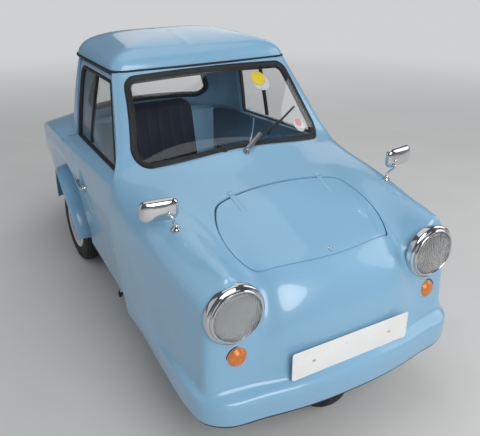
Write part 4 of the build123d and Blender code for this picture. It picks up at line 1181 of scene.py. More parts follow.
# Louvres of the engine lid: share of the half width and of the height along each, and its section
LOUVRE_ALONG = [(-1, 0), (-0.97, 0.35), (-0.9, 0.7), (-0.5, 1), (0, 1), (0.5, 1), (0.9, 0.7), (0.97, 0.35), (1, 0)]
LOUVRE_SECTION = [(-0.012, -0.001), (-0.004, 0.004), (0.006, 0.009), (0.010, 0.009), (0.011, -0.001)]
LOUVRE_COUNT = 7
LOUVRE_START = 0.93
LOUVRE_PITCH = 0.034


def louvre(tree, side, y):
    """One pressed louvre, open to the rear."""
    line, out = from_above(tree, [(side * 0.13 + t * 0.095, y) for t, _ in LOUVRE_ALONG])
    points = []
    for p, n, (_, rise) in zip(line, out, LOUVRE_ALONG):
        for a, b in LOUVRE_SECTION:
            points.append(p + Vector((0, 1, 0)) * a + n * (b * rise if b > 0 else b))
    last, m = len(LOUVRE_ALONG) - 1, len(LOUVRE_SECTION)
    quads = [
        (r * m + c, r * m + c + 1, (r + 1) * m + c + 1, (r + 1) * m + c) for r in range(last) for c in range(m - 1)
    ]
    quads += [(r * m + m - 1, r * m, (r + 1) * m, (r + 1) * m + m - 1) for r in range(last)]
    blade = new_object("louvre", points, quads)
    close_holes(blade)
    smooth_by_angle(blade, 45)
    return blade


def make_tail(body):
    """Tail shell, and the engine lid with its louvres."""
    sheet = tail_sheet()
    tree = surface_tree(sheet)
    shell = copied(sheet, "rear_body")
    thickened(shell, body.skin)
    edge = softened(lid_outline(ENGINE_PLAN, LID_BOW), 5)
    inner = softened(lid_outline(ENGINE_PLAN, LID_BOW, LID_GAP), 5)
    lid = copied(sheet, "engine_lid_panel")
    cropped(lid, lambda c: c.z > 0.5 and abs(c.x) < 0.42 and 0.66 < c.y < 1.36)
    thickened(lid, body.skin)
    boolean(lid, prism("engine_keep", inner, "Z", 0.4, 1.1), "INTERSECT")
    boolean(shell, prism("engine_hole", edge, "Z", 0.45, 1.1))
    for side in (1, -1):
        boolean(shell, wheel_well("well", ARCH_RADIUS, *sorted((side * 0.35, side * 0.66))))
    plan = [(x * MM, y * MM) for x, y in house_plan(850, -20)]
    plan = plan + [(-x, y) for x, y in reversed(plan[:-1])]
    plan = [(plan[0][0], 0.2)] + plan + [(plan[-1][0], 0.2)]
    boolean(shell, prism("cabin_hole", plan, "Z", 0.70, 1.1))
    smooth_by_angle(shell, 38)
    smooth_by_angle(lid, 38)
    finish(shell, "car", "body_paint", "rear_shell")

    places = [(side, LOUVRE_START + i * LOUVRE_PITCH) for side in (1, -1) for i in range(LOUVRE_COUNT)]
    louvres = [louvre(tree, side, y) for side, y in places]
    lid = join([lid, lid_bead("engine_bead", tree, inner, body.bead)] + louvres, "engine_lid_panel")
    finish(lid, "engine_cover", "body_paint", "engine_lid")
    lid_channel("engine_channel", tree, edge)
    remove(sheet)


def make_rear_house():
    """Rear pillars with the wall round the rear window, its glass and its seal."""
    wall = house_sheet()
    tree = surface_tree(wall)
    back = arched_outline(BACK_CORNERS, BACK_RADIUS, 1)
    house = copied(wall, "rear_house")
    thickened(house, 0.020)
    boolean(house, prism("back_hole", back, "Y", 0.34, 0.80))
    smooth_by_angle(house, 38)
    finish(house, "car", "body_paint")
    path, normals = laid_on(tree, back, "Y", 1.0, (0, -1, 0))
    profile = [(-a * 0.7, b if b > -0.012 else -0.022) for a, b in SEAL_PROFILE]
    seal = sweep("rear_window_rubber", path, normals, profile)
    smooth_by_angle(seal, 50)
    finish(seal, "car", "black_rubber", "rear_window_seal")
    inner = arched_outline(BACK_CORNERS, BACK_RADIUS, 1, 18)
    pane = window_glass(wall, "rear_window_pane", inner, 0.30, 0.80, lambda c: c.z > 0.89 and c.y > 0.3, 0.006)
    finish(pane, "car", "clear_glass", "rear_window_glass")


# Mudguards: section across the wheel, share of the width and radius in mm
GUARD_SECTION = [
    (0.0, 338), (0.03, 343), (0.12, 346.5), (0.3, 348), (0.55, 348), (0.78, 346.5), (0.92, 342), (0.985, 335),
    (1.0, 328),
]
GUARD_INSIDE = 0.364
GUARD_OUTSIDE = 0.545
GUARD_END = math.radians(81)
GUARD_PLATE_KEEP = [(0.2, 0.285), (0.93, 0.285), (0.93, 0.62), (0.2, 0.62)]
AXLE_SLOT = [(0.50, 0.2), (0.62, 0.2), (0.62, 0.33), (0.50, 0.33)]


def guard_edge(turn):
    """How far out a mudguard reaches at an angle before the top of the wheel, in metres."""
    y = REAR_AXLE_Y - ARCH_RADIUS * math.sin(turn)
    if y >= 0.585:
        return GUARD_OUTSIDE - 0.165 * (y - 0.585)
    if not -8 < math.degrees(turn) < 84:
        return GUARD_OUTSIDE
    return GUARD_OUTSIDE + 0.022 * max(0.0, math.sin((turn - math.radians(-8)) / math.radians(92) * math.pi))


def guard_band(side, name):
    """Rounded band over a rear wheel."""
    turns = [math.radians(a) for a in np.linspace(-81, 81, 37)]
    points = []
    for turn in turns:
        outer = guard_edge(turn)
        tuck = 0.006 * (1 - min(1.0, (GUARD_END - abs(turn)) / 0.10))
        for share, radius in GUARD_SECTION:
            x = GUARD_INSIDE + (outer - GUARD_INSIDE) * share
            r = radius * MM - tuck
            points.append((side * x, REAR_AXLE_Y - r * math.sin(turn), AXLE_Z + r * math.cos(turn)))
    m = len(GUARD_SECTION)
    guard = new_object(name, points, grid_faces(len(turns), m, lambda r, c: r * m + c))
    apply_modifier(guard, "SUBSURF", levels=1, render_levels=1)
    top = max(guard.data.polygons, key=lambda p: p.center.z)
    if top.normal.z < 0:
        guard.data.flip_normals()
    thickened(guard, 0.005)
    return guard


def make_mudguards():
    """Rounded bands over the rear wheels, narrower towards the tail, with their inner plates."""
    for side, tag in ((1, "left"), (-1, "right")):
        name = f"mudguard_{tag}"
        guard = guard_band(side, name)
        inside = sorted((side * 0.3, side * 0.4))
        plate = wheel_well("guard_plate", 0.340, *sorted((side * 0.362, side * 0.367)))
        boolean(plate, prism("plate_keep", GUARD_PLATE_KEEP, "X", *inside), "INTERSECT")
        boolean(plate, prism("axle_slot", AXLE_SLOT, "X", *inside))
        guard = join([guard, plate], name)
        smooth_by_angle(guard, 40)
        finish(guard, "car", "body_paint", *(["mudguards"] if side > 0 else []))


# Roof: height share of the cap at each scale of its plan
ROOF_RINGS = [
    (1.0, 0.0), (0.994, 0.10), (0.982, 0.22), (0.962, 0.34), (0.935, 0.46), (0.895, 0.575), (0.84, 0.675),
    (0.76, 0.775), (0.66, 0.86), (0.54, 0.92), (0.41, 0.96), (0.27, 0.985), (0.13, 0.997),
]
ROOF_RISE = 104
ROOF_CENTRE_Y = 92
ROOF_BASE = 1.2385
GUTTER_PROFILE = [
    (-0.0075, -0.012), (-0.0078, 0.008), (-0.004, 0.013), (0.002, 0.0125), (0.0048, 0.006), (0.0045, -0.012),
]


def gutter_plan(grow=0.0, count=160):
    """Whole plan of the glass house at the gutter, rounded at its corners, in metres."""
    front, back, side = -246 - grow, 430 + grow, 424 + grow
    brow_x, brow_y = 390 + grow * 0.6, -236 - grow
    half = arc_at((-brow_x, brow_y), (0, front), (brow_x, brow_y), [t / 24 for t in range(25)])
    turn = (brow_x + 0.78 * (side - brow_x), brow_y + 18)
    corner = arc_at((brow_x, brow_y), turn, (side, -176 - grow), [t / 8 for t in range(1, 9)])
    r = 180
    right = [
        (side - r + r * math.cos(a), back - r + r * math.sin(a)) for a in [math.pi / 2 * t / 12 for t in range(13)]
    ]
    outline = half + corner + right
    outline += [(-x, y) for x, y in reversed(right)] + [(-x, y) for x, y in reversed(corner)]
    return [(x * MM, y * MM) for x, y in softened(outline, 2, count)]


def make_roof():
    """Domed roof cap with a faint crease."""
    plan = gutter_plan(5)
    cy = ROOF_CENTRE_Y * MM
    points = []
    for scale, share in ROOF_RINGS:
        points += [(x * scale, cy + (y - cy) * scale, ROOF_BASE + ROOF_RISE * MM * share) for x, y in plan]
    points.append((0, cy, ROOF_BASE + ROOF_RISE * MM))
    n = len(plan)
    last = (len(ROOF_RINGS) - 1) * n
    faces = ring_faces(len(ROOF_RINGS), n)
    faces += [(last + i, last + (i + 1) % n, len(points) - 1) for i in range(n)]
    cap = new_object("roof_cap", points, faces)
    apply_modifier(cap, "SUBSURF", levels=1, render_levels=1)
    for v in cap.data.vertices:
        if v.co.z > ROOF_BASE + 0.06:
            along = max(0.0, min(1.0, (0.16 - v.co.y) / 0.34))
            line = v.co.x - (-0.02 - 0.04 * along)
            v.co.z += 0.0035 * along * math.exp(-((line / 0.018) ** 2))
    thickened(cap, 0.006)
    outward(cap, 0)
    smooth_by_angle(cap, 40)
    finish(cap, "car", "body_paint", "roof")


def make_gutter():
    """Rubber gutter under the roof cap."""
    path = [Vector((x, y, 1.2331)) for x, y in gutter_plan(0)]
    normals = []
    for i in range(len(path)):
        t = path[(i + 1) % len(path)] - path[i - 1]
        normals.append(Vector((t.y, -t.x, 0)).normalized())
    strip = sweep("roof_gutter_rubber", path, normals, GUTTER_PROFILE)
    smooth_by_angle(strip, 50)
    finish(strip, "car", "black_rubber", "roof_gutter")


# Doors

# Foot x, hip x and z, waist x and z, bulge x and z, and shoulder x and z, in mm
DOOR_FRONT = (512, 530, 440, 546, 620, 553, 745, 548, 836)
DOOR_REAR = (474, 490, 470, 522, 640, 547, 745, 548, 836)
DOOR_YS = [-506, -400, -290, -180, -90, -22, 18, 58, 120, 185, 244]
DOOR_FOOT_Z = 268
WINDOW_OUTER = [(-475, 858), (-476, 888), (-203, 1218), (244, 1218), (244, 832)]
WINDOW_INNER = [(-440, 875), (-204, 1196), (221, 1196), (232, 851)]
WINDOW_GLASS = [(-443, 871), (-205, 1199), (222, 1199), (234, 847)]
WINDOW_LIP = [(-0.005, -0.014), (-0.005, 0.001), (-0.001, 0.0035), (0.009, 0.003), (0.013, -0.002), (0.013, -0.014)]
BAR_SECTION = [(-0.009, -0.006), (-0.009, 0.006), (0.009, 0.006), (0.009, -0.006)]
BAR_HEIGHTS = (0.88, 0.98, 1.09, 1.194)
BELT_STRIP_SECTION = [
    (-0.0045, -0.003), (-0.004, 0.003), (-0.0015, 0.0045), (0.0015, 0.0045), (0.004, 0.003), (0.0045, -0.003),
]
# Handle recess: y and z of its middle, its half width, half height and depth, in metres
RECESS = (-0.030, 0.655, 0.052, 0.112, 0.020)
HANDLE_PLACE = (0.562, -0.028, 0.672)
LEVER_STEPS = [(0, 0, 0), (0.002, 0.014, 0), (0.001, 0.05, 0.002), (-0.002, 0.088, 0.002), (-0.006, 0.104, 0.002)]
LEVER_END_PROFILE = [(0, -0.010), (0.006, -0.0085), (0.009, -0.003), (0.009, 0.004), (0.006, 0.009), (0, 0.010)]


def belt_drop(y):
    """How far the belt has dropped at a place along the car, in mm."""
    return 26 * (y + 475) / 700


def door_sheet():
    """Outer surface of the door below the window, with the handle recess."""
    rows = []
    for y in DOOR_YS:
        t = (y - DOOR_YS[0]) / (DOOR_YS[-1] - DOOR_YS[0])
        foot, hx, hz, wx, wz, bx, bz, sx, sz = [a + (b - a) * t for a, b in zip(DOOR_FRONT, DOOR_REAR)]
        belt = house_side(y * MM, BELT_Z * MM) / MM
        top = 868 - belt_drop(y)
        line = [(belt - 27, top - 4), (belt - 14, top), (belt, top - 1)]
        line += [(blend(belt, sx, 0.35), blend(top - 2, sz, 0.25)), (blend(belt, sx, 0.72), blend(top - 2, sz, 0.62))]
        line.append((sx, sz - 3))
        line += arc_at((sx, sz), (bx, bz), (wx, wz), [0.2, 0.42, 0.62, 0.82, 1.0])
        line += arc_at((wx, wz), (hx, hz), (foot, DOOR_FOOT_Z), [0.25, 0.5, 0.75, 1.0])
        rows.append([(x * MM, y * MM, z * MM) for x, z in line])
    cols = len(rows[0])
    faces = grid_faces(len(rows), cols, lambda r, c: r * cols + c)
    sheet = fitted_surface("door_sheet", [p for row in rows for p in row], faces)
    middle_y, middle_z, half_wide, half_tall, depth = RECESS
    for v in sheet.data.vertices:
        reach = ((v.co.y - middle_y) / half_wide) ** 2 + ((v.co.z - middle_z) / half_tall) ** 2
        if reach < 1:
            v.co.x -= depth * (1 - reach) ** 0.5
    if sheet.data.polygons[len(sheet.data.polygons) // 2].normal.x < 0:
        sheet.data.flip_normals()
    return sheet


def window_outline(corners, radius, count):
    """Evenly spaced outline of the door window, as pairs in metres."""
    return resampled(rounded_outline([(a * MM, b * MM) for a, b in corners], radius), count)


def frame_outlines():
    """Outer and inner outline of the window frame, started at the same corner."""
    count = 120
    outer = window_outline(WINDOW_OUTER, [0.004, 0.010, 0.03, 0.02, 0.004], count)
    inner = window_outline(WINDOW_INNER, [0.016, 0.022, 0.045, 0.014], count)
    start = min(range(count), key=lambda i: math.hypot(inner[i][0] - outer[0][0], inner[i][1] - outer[0][1]))
    return outer, inner[start:] + inner[:start]


def door_rubbers(inner):
    """Rubber round the door glass and the bar between its two panes."""
    path = [Vector((house_side(a, b, 0.004), a, b)) for a, b in inner]
    rubber = sweep("window_rubber", path, [house_normal(a, b) for a, b in inner], WINDOW_LIP)
    path = [Vector((house_side(0.0, z, 0.010), 0.0, z)) for z in BAR_HEIGHTS]
    bar = sweep("window_bar", path, [house_normal(0.0, z) for z in BAR_HEIGHTS], BAR_SECTION, False)
    trims = join([rubber, bar], "door_rubber_left")
    smooth_by_angle(trims, 50)
    return trims


def door_glass():
    """Glass of the door window."""
    outline = window_outline(WINDOW_GLASS, 0.020, 80)
    faces = [[Vector((house_side(a, b, depth), a, b)) for a, b in outline] for depth in (0.011, 0.015)]
    return slab("door_pane_left", *faces)


def door_handle(tree):
    """Lever handle on a stem from the middle of its recess."""
    x, y, z = HANDLE_PLACE
    hit, normal, _, _ = tree.ray_cast(Vector((0.8, y, z)), Vector((-1, 0, 0)))
    stem = x - hit.x
    rose = [
        (0, 0), (0.019, 0), (0.020, 0.003), (0.017, 0.006), (0.012, 0.010), (0.0095, stem - 0.004),
        (0.009, stem + 0.006), (0.005, stem + 0.009), (0, stem + 0.009),
    ]
    base = turned("handle_rose", rose, hit - normal * 0.001, (1, 0, 0), 32)
    path = [Vector((x, hit.y, hit.z)) + Vector(step) for step in LEVER_STEPS]
    lever = tube("handle_lever", path, 0.0065)
    knob = turned("handle_end", LEVER_END_PROFILE, path[-1], (0, 1, 0), 20)
    return join([base, lever, knob], "door_lever_left")


def door_bright(tree):
    """Bright strip along the belt and its two clips."""
    path = [
        Vector((house_side(y, 0.868, -0.001), y, 0.870 - belt_drop(y / MM) * MM))
        for y in np.linspace(-0.470, 0.243, 24)
    ]
    strip = sweep("belt_strip", path, [house_normal(-0.1, 0.87)] * len(path), BELT_STRIP_SECTION, False)
    smooth_by_angle(strip, 50)
    clips = []
    for y in (-0.37, 0.12):
        hit, normal, _, _ = tree.ray_cast(Vector((0.8, y, 0.850 - belt_drop(y / MM) * MM)), Vector((-1, 0, 0)))
        layers = [(1, -0.002), (1, 0.003), (0.8, 0.0045)]
        clips.append(layered("clip", layers, rounded_box(0.012, 0.006, 0.004, 4), hit, (0, 1, 0), (0, 0, 1), normal))
    return join([strip] + clips, "door_bright_left")


def make_doors():
    """Door panels with the handle recess, leaning window frames, glass and fittings."""
    sheet = door_sheet()
    tree = surface_tree(sheet)
    panel = copied(sheet, "door_panel")
    thickened(panel, 0.012)
    boolean(panel, wheel_well("door_wheel_cut", 0.378, 0.3, 0.7))
    smooth_by_angle(panel, 38)
    remove(sheet)
    outer, inner = frame_outlines()
    ring = ring_panel(
        "door_window_frame", outer, inner, lambda a, b, d: Vector((house_side(a, b, 0.003 + d), a, b)), 0.020
    )
    for piece, slot, nodes in (
        (join([panel, ring], "door_panel_left"), "body_paint", ["door"]),
        (door_rubbers(inner), "black_rubber", []),
        (door_bright(tree), "chrome", []),
        (door_glass(), "clear_glass", ["door_glass"]),
        (door_handle(tree), "chrome", ["door_handle"]),
    ):
        twin = mirrored(piece, piece.name.replace("left", "right"))
        for obj, side in ((piece, "left"), (twin, "right")):
            finish(obj, f"{side}_door", slot, *[f"{node}_{side}" for node in nodes])


# Lamps, mirrors, wiper and plates

LAMP_PLACE = (0.430, -1.2685, 0.650)
INDICATOR_PLACE = (0.427, -1.2695, 0.487)
TAIL_LAMP_PLACE = (0.318, 1.3885, 0.3855)
RIM_PROFILE = [
    (0.0865, -0.012), (0.109, -0.012), (0.1095, 0.002), (0.1085, 0.008), (0.1055, 0.0125), (0.101, 0.0145),
    (0.0985, 0.0135), (0.0975, 0.016), (0.0965, 0.0205), (0.0935, 0.0235), (0.0900, 0.0235), (0.0875, 0.0205),
    (0.0868, 0.015),
]
BULB_PROFILE = [(0, -0.046), (0.008, -0.044), (0.0085, -0.022), (0.006, -0.014), (0, -0.012)]
COLLAR_PROFILE = [
    (0, -0.012), (0.045, -0.012), (0.0455, 0.004), (0.043, 0.008), (0.0395, 0.009), (0.038, 0.004), (0, 0.004),
]


def headlamp_glass(centre):
    """Domed shell of a headlamp lens."""
    shares = np.linspace(0.06, 1.5, 22)
    dome = [(0.0868 * math.sin(t), 0.018 + 0.0225 * math.cos(t) ** 0.9) for t in shares]
    hollow = [(0.0845 * math.sin(t), 0.0145 + 0.0225 * math.cos(t) ** 0.9) for t in reversed(shares)]
    profile = [(0.0, 0.0405)] + dome + [(0.0868, 0.010), (0.0845, 0.010)] + hollow + [(0.0, 0.037)]
    return turned("lens", profile, centre, (0, -1, 0), 96)


def headlamp_bowl(centre):
    """Reflector bowl of a headlamp."""
    bowl = [(0.086 * t, -0.046 + 0.054 * t**2) for t in np.linspace(0.12, 1, 14)]
    profile = [(0, -0.047)] + bowl + [(0.0862, 0.009), (0.0875, -0.012), (0.04, -0.052), (0, -0.053)]
    return turned("bowl", profile, centre, (0, -1, 0), 64)


def ribbed_dome(radius, low, rise, count):
    """Profile of a small domed lens with fine ribs."""
    turns = np.linspace(0, math.pi / 2 - 0.02, count)
    return [(radius * math.cos(t), low + rise * math.sin(t) + 0.0006 * math.cos(t * 36)) for t in turns]


def make_lamps():
    """Headlamps with two-step rims, fluted lenses and reflectors, indicators and tail lamps."""
    amber = [(0, 0.004), (0.0375, 0.004)] + ribbed_dome(0.0375, 0.006, 0.021, 40) + [(0, 0.0274)]
    red = [(0, 0.0), (0.036, 0.0)] + ribbed_dome(0.036, 0.004, 0.016, 32) + [(0, 0.0206)]
    rims, lenses, bowls, ambers, collars, reds = [], [], [], [], [], []
    for side in (1, -1):
        centre, spot, tail = [(side * x, y, z) for x, y, z in (LAMP_PLACE, INDICATOR_PLACE, TAIL_LAMP_PLACE)]
        rims.append(turned("rim", RIM_PROFILE, centre, (0, -1, 0), 96))
        lenses.append(headlamp_glass(centre))
        bowls.append(headlamp_bowl(centre))
        bowls.append(turned("bulb", BULB_PROFILE, centre, (0, -1, 0), 24))
        collars.append(turned("collar", COLLAR_PROFILE, spot, (0, -1, 0), 48))
        ambers.append(turned("amber", amber, spot, (0, -1, 0), 64))
        reds.append(turned("red", red, tail, (0, 1, 0), 48))
    for pieces, name, slot, look, nodes in (
        (rims, "headlamp_bezels", "chrome", "chrome", ["headlamp_rims"]),
        (lenses, "headlamp_glasses", "lamp_glass", "lamp_glass", ["headlamp_lenses"]),
        (bowls, "headlamp_reflectors", "chrome", "reflector", []),
        (collars, "indicator_collars", "black_rubber", "black_rubber", []),
        (ambers, "indicator_lenses", "amber_lens", "amber_lens", ["front_indicators"]),
        (reds, "tail_lamp_lenses", "red_lens", "red_lens", ["tail_lamps"]),
    ):
        piece = join(pieces, name)
        smooth_by_angle(piece, 40)
        finish(piece, "car", slot, *nodes, look=look)


PLATE_HALF = (0.260, 0.0555)
PLATE_LAYERS = [(1.0, -0.001), (1.0, 0.0008), (0.996, 0.0018), (0.992, 0.0018), (0.990, 0.0008), (0.2, 0.0008)]
PLATE_PLACE = (0, -1.3585, 0.427)
SCREW_XS = (-0.17, 0.17)
SCREW_PROFILE = [(0, -0.001), (0.006, -0.001), (0.006, 0.002), (0.004, 0.0035), (0, 0.004)]


def make_plates():
    """Blank pressed number plate with a raised border, its screws and its brackets."""
    outline = rounded_box(*PLATE_HALF, 0.008, 6)
    front = layered("number_plate_blank", PLATE_LAYERS, outline, PLATE_PLACE, (1, 0, 0), (0, 0, 1), (0, -1, 0))
    finish(front, "car", "plate_white", "number_plates")
    outline = rounded_box(0.012, 0.02, 0.003, 3)
    screws, brackets = [], []
    for x in SCREW_XS:
        screws.append(turned("screw", SCREW_PROFILE, (x, -1.3590, 0.427), (0, -1, 0), 16))
        centre = (x, -1.3565, 0.427)
        brackets.append(layered("bracket", [(1, 0), (1, 0.034)], outline, centre, (1, 0, 0), (0, 0, 1), (0, 1, 0)))
    finish(join(screws, "plate_screws"), "car", "chrome")
    finish(join(brackets, "plate_brackets"), "car", "black_steel")


# Mirrors: middle of the head on each side, and the foot of the stalk, in metres
MIRROR_HEADS = {1: (0.520, -0.960, 0.925), -1: (-0.541, -0.952, 0.914)}
MIRROR_FOOT = (0.481, -0.942, 0.829)
MIRROR_HEAD_LAYERS = [
    (0.25, 0.0145), (0.55, 0.0135), (0.78, 0.011), (0.91, 0.007), (0.975, 0.002), (1.0, -0.004), (1.0, -0.008),
    (0.985, -0.010), (0.955, -0.0105), (0.95, -0.007), (0.3, -0.007),
]
MIRROR_GLASS_LAYERS = [(0.945, -0.0075), (0.945, -0.0085), (0.90, -0.0092)]
MIRROR_BOSS_PROFILE = [(0, -0.004), (0.010, -0.004), (0.0105, 0.006), (0.008, 0.011), (0.003, 0.0125), (0, 0.0127)]
MIRROR_FOOT_PROFILE = [(0, 0), (0.017, 0), (0.0175, 0.004), (0.013, 0.009), (0.008, 0.016), (0.0065, 0.024), (0, 0.025)]


def make_mirrors():
    """Wing mirrors: rounded oblong heads on bent stalks."""
    heads, glasses = [], []
    outline = rounded_box(0.069, 0.039, 0.024, 8)
    for side in (1, -1):
        across = Vector((math.cos(0.20), side * math.sin(0.20) * 0.6, 0)).normalized()
        out = Vector((across.y, -across.x, 0)).normalized()
        centre = Vector(MIRROR_HEADS[side])
        heads.append(layered("mirror_head", MIRROR_HEAD_LAYERS, outline, centre, across, (0, 0, 1), out))
        glasses.append(layered("mirror_glass", MIRROR_GLASS_LAYERS, outline, centre, across, (0, 0, 1), out))
        x, y, z = MIRROR_FOOT
        foot = Vector((side * x, y, z - 0.006))
        boss = centre + out * 0.010 + Vector((-side * 0.030, 0, -0.012))
        heads.append(turned("mirror_boss", MIRROR_BOSS_PROFILE, boss, out, 24))
        bend = boss + out * 0.010 + Vector((-side * 0.012, -0.004, -0.020))
        rise = foot + Vector((side * 0.010, -0.002, 0.034))
        heads.append(tube("mirror_stalk", [boss + out * 0.004, bend, rise, foot + Vector((0, 0, 0.014)), foot], 0.0045))
        heads.append(turned("mirror_foot", MIRROR_FOOT_PROFILE, foot, (0, -0.25, 1), 32))
    finish(join(heads, "mirror_heads"), "car", "chrome", "wing_mirrors")
    finish(join(glasses, "mirror_faces"), "car", "chrome", look="mirror_face")


# Wiper: spindle and jet seen from above, then elbow, joint and the blade's two ends seen from in front
SPINDLE_PLACE = (-0.006, -0.614)
JET_PLACE = (-0.087, -0.578)
WIPER_PLACES = [(0.110, 0.953), (0.262, 0.994), (0.161, 0.956), (0.355, 1.030)]
SPINDLE_PROFILE = [
    (0, -0.010), (0.016, -0.010), (0.0165, 0.004), (0.012, 0.010), (0.010, 0.024), (0.007, 0.027), (0, 0.027),
]
ARM_SECTION = [(-0.0105, -0.003), (-0.010, 0.0025), (-0.005, 0.004), (0.005, 0.004), (0.010, 0.0025), (0.0105, -0.003)]
BLADE_SECTION = [(-0.002, -0.010), (-0.0045, 0.003), (0, 0.009), (0.0045, 0.003), (0.002, -0.010)]
JET_PROFILE = [(0, -0.003), (0.010, -0.003), (0.0105, 0.003), (0.008, 0.007), (0.005, 0.010), (0, 0.0105)]


def make_wiper(tree):
    """Wiper with its spindle, sprung arm and rubber blade, and the washer jet."""
    (spindle,), (out,) = from_above(tree, [SPINDLE_PLACE])
    places, lifts = from_front(tree, WIPER_PLACES)
    elbow, joint = places[0] + lifts[0] * 0.024, places[1] + lifts[1] * 0.020
    low, tip = places[2] + lifts[2] * 0.008, places[3] + lifts[3] * 0.008
    base = turned("wiper_spindle", SPINDLE_PROFILE, spindle, out, 32)
    start = spindle + out * 0.021
    arm = sweep("wiper_arm", [start, start * 0.5 + elbow * 0.5, elbow], [out, out, lifts[0]], ARM_SECTION, False)
    rod_path = [elbow * 0.98 + start * 0.02, elbow * 0.5 + joint * 0.5 + lifts[1] * 0.002, joint]
    rod = tube("wiper_rod", rod_path, 0.003)
    smooth_by_angle(arm, 50)
    finish(join([base, arm], "wiper_arm"), "car", "chrome", "wiper", look="satin_metal")
    line = [low * (1 - t) + tip * t for t in (0, 0.25, 0.5, 0.75, 1)]
    middle = (lifts[2] + lifts[3]).normalized()
    blade = sweep("wiper_blade", line, [middle] * len(line), BLADE_SECTION, False)
    hook = tube("blade_hook", [joint, joint - lifts[1] * 0.006, low * 0.46 + tip * 0.54 + middle * 0.006], 0.003)
    smooth_by_angle(blade, 50)
    (jet,), (out,) = from_above(tree, [JET_PLACE])
    nozzle = turned("washer_jet", JET_PROFILE, jet, out, 24)
    finish(join([blade, hook, rod, nozzle], "wiper_rubber"), "car", "black_rubber")


# Wheels

# Tyre wall from the rim to the tread: radius and distance from the middle, in metres
TYRE_WALL = [
    (0.1325, -0.0337), (0.1445, -0.0378), (0.150, -0.0430), (0.165, -0.0500), (0.182, -0.0518), (0.199, -0.0500),
    (0.210, -0.0462), (0.2165, -0.0425), (0.2200, -0.0400),
]
TREAD_HALF = 0.036
TREAD_RIB = 0.0144
TREAD_CROWN = 0.2295
CAP_PROFILE = [
    (0, 0.058), (0.012, 0.0575), (0.026, 0.054), (0.034, 0.046), (0.0365, 0.036), (0.0365, 0.034), (0, 0.034),
]
NUT_PROFILE = [(0, 0.018), (0.006, 0.0175), (0.0095, 0.014), (0.0095, 0.0), (0, 0.0)]
NUT_CIRCLE = 0.056


def tyre_profile(depth):
    """Closed section of a tyre with its grooves: radius and distance from the middle."""
    tread = []
    for i in range(41):
        t = -TREAD_HALF + 2 * TREAD_HALF * i / 40
        rib = abs(((t + TREAD_HALF) / TREAD_RIB) % 1 - 0.5)
        crown = TREAD_CROWN - 11.0 * abs(t) ** 2.2
        tread.append((crown - (depth if rib > 0.40 else 0.0), t))
    return TYRE_WALL + tread + [(r, -t) for r, t in reversed(TYRE_WALL)] + [(0.1325, 0.03), (0.1325, -0.03)]


def tyre(name, wheels, x, y):
    """Tyre with ribs and notched shoulder blocks about an axle's end."""
    profile = tyre_profile(wheels.tread_depth)
    steps = wheels.tread_blocks * 4
    points = []
    for i in range(steps):
        a = 2 * math.pi * i / steps
        for r, t in profile:
            if i % 4 == 0 and r > 0.2105 and abs(t) > 0.026:
                r -= wheels.tread_depth * 0.8
            points.append((x + t, y + r * math.cos(a), AXLE_Z + r * math.sin(a)))
    m = len(profile)
    faces = []
    for i in range(steps):
        j = (i + 1) % steps
        faces += [(i * m + k, j * m + k, j * m + (k + 1) % m, i * m + (k + 1) % m) for k in range(m)]
    obj = new_object(name, points, faces)
    outward(obj)
    smooth_by_angle(obj, 30)
    return obj


def make_wheels(wheels):
    """Tyres with ribs and shoulder blocks, and the rear wheels' caps and nuts."""
    for body, node, x, y in (
        ("front_wheel", "front", 0.0, FRONT_AXLE_Y),
        ("rear_wheel_left", "rear_left", HALF_TRACK, REAR_AXLE_Y),
        ("rear_wheel_right", "rear_right", -HALF_TRACK, REAR_AXLE_Y),
    ):
        finish(tyre(f"{node}_tyre_tread", wheels, x, y), body, "tyre_rubber", f"{node}_tyre")
        if node == "front":
            continue
        outwards = (math.copysign(1, x), 0, 0)
        pieces = [turned("hub_cap", CAP_PROFILE, (x, y, AXLE_Z), outwards, 40)]
        for k in range(4):
            a = math.pi / 4 + k * math.pi / 2
            spot = (x, y + NUT_CIRCLE * math.cos(a), AXLE_Z + NUT_CIRCLE * math.sin(a))
            pieces.append(turned("wheel_nut", NUT_PROFILE, spot, outwards, 6))
        finish(join(pieces, f"{node}_wheel_cap"), body, "chrome")


# Cabin

SEAT_X = -0.110
SEAT_WIDE = 0.426
CUSHION_PLACE = (SEAT_X, -0.245, 0.386)
BACK_LEAN = math.radians(14)
BACK_FOOT = (-0.034, 0.430)
BACK_UP = 0.310
BACK_OUT = 0.040


def inflated(obj, pressure, cap):
    """Cloth inflation of a closed pad, with each point's way kept under a cap."""
    make_active(obj)
    obj.data.remesh_voxel_size = 0.009
    bpy.ops.object.voxel_remesh()
    rest = np.array([v.co[:] for v in obj.data.vertices])
    cloth = obj.modifiers.new("Cloth", "CLOTH")
    cloth.settings.use_pressure = True
    cloth.settings.uniform_pressure_force = pressure
    cloth.settings.quality = 5
    cloth.settings.effector_weights.gravity = 0
    scene = bpy.context.scene
    for number in range(1, 19):
        scene.frame_set(number)
    evaluated = obj.evaluated_get(bpy.context.evaluated_depsgraph_get())
    final = np.array([v.co[:] for v in evaluated.data.vertices])
    obj.modifiers.remove(cloth)
    scene.frame_set(1)
    step = final - rest
    far = np.linalg.norm(step, axis=1, keepdims=True)
    step *= np.minimum(1.0, cap / np.maximum(far, 1e-9))
    obj.data.vertices.foreach_set("co", (rest + step).ravel())
    apply_modifier(obj, "SMOOTH", factor=0.5, iterations=4)
    apply_modifier(obj, "SUBSURF", levels=1, render_levels=1)


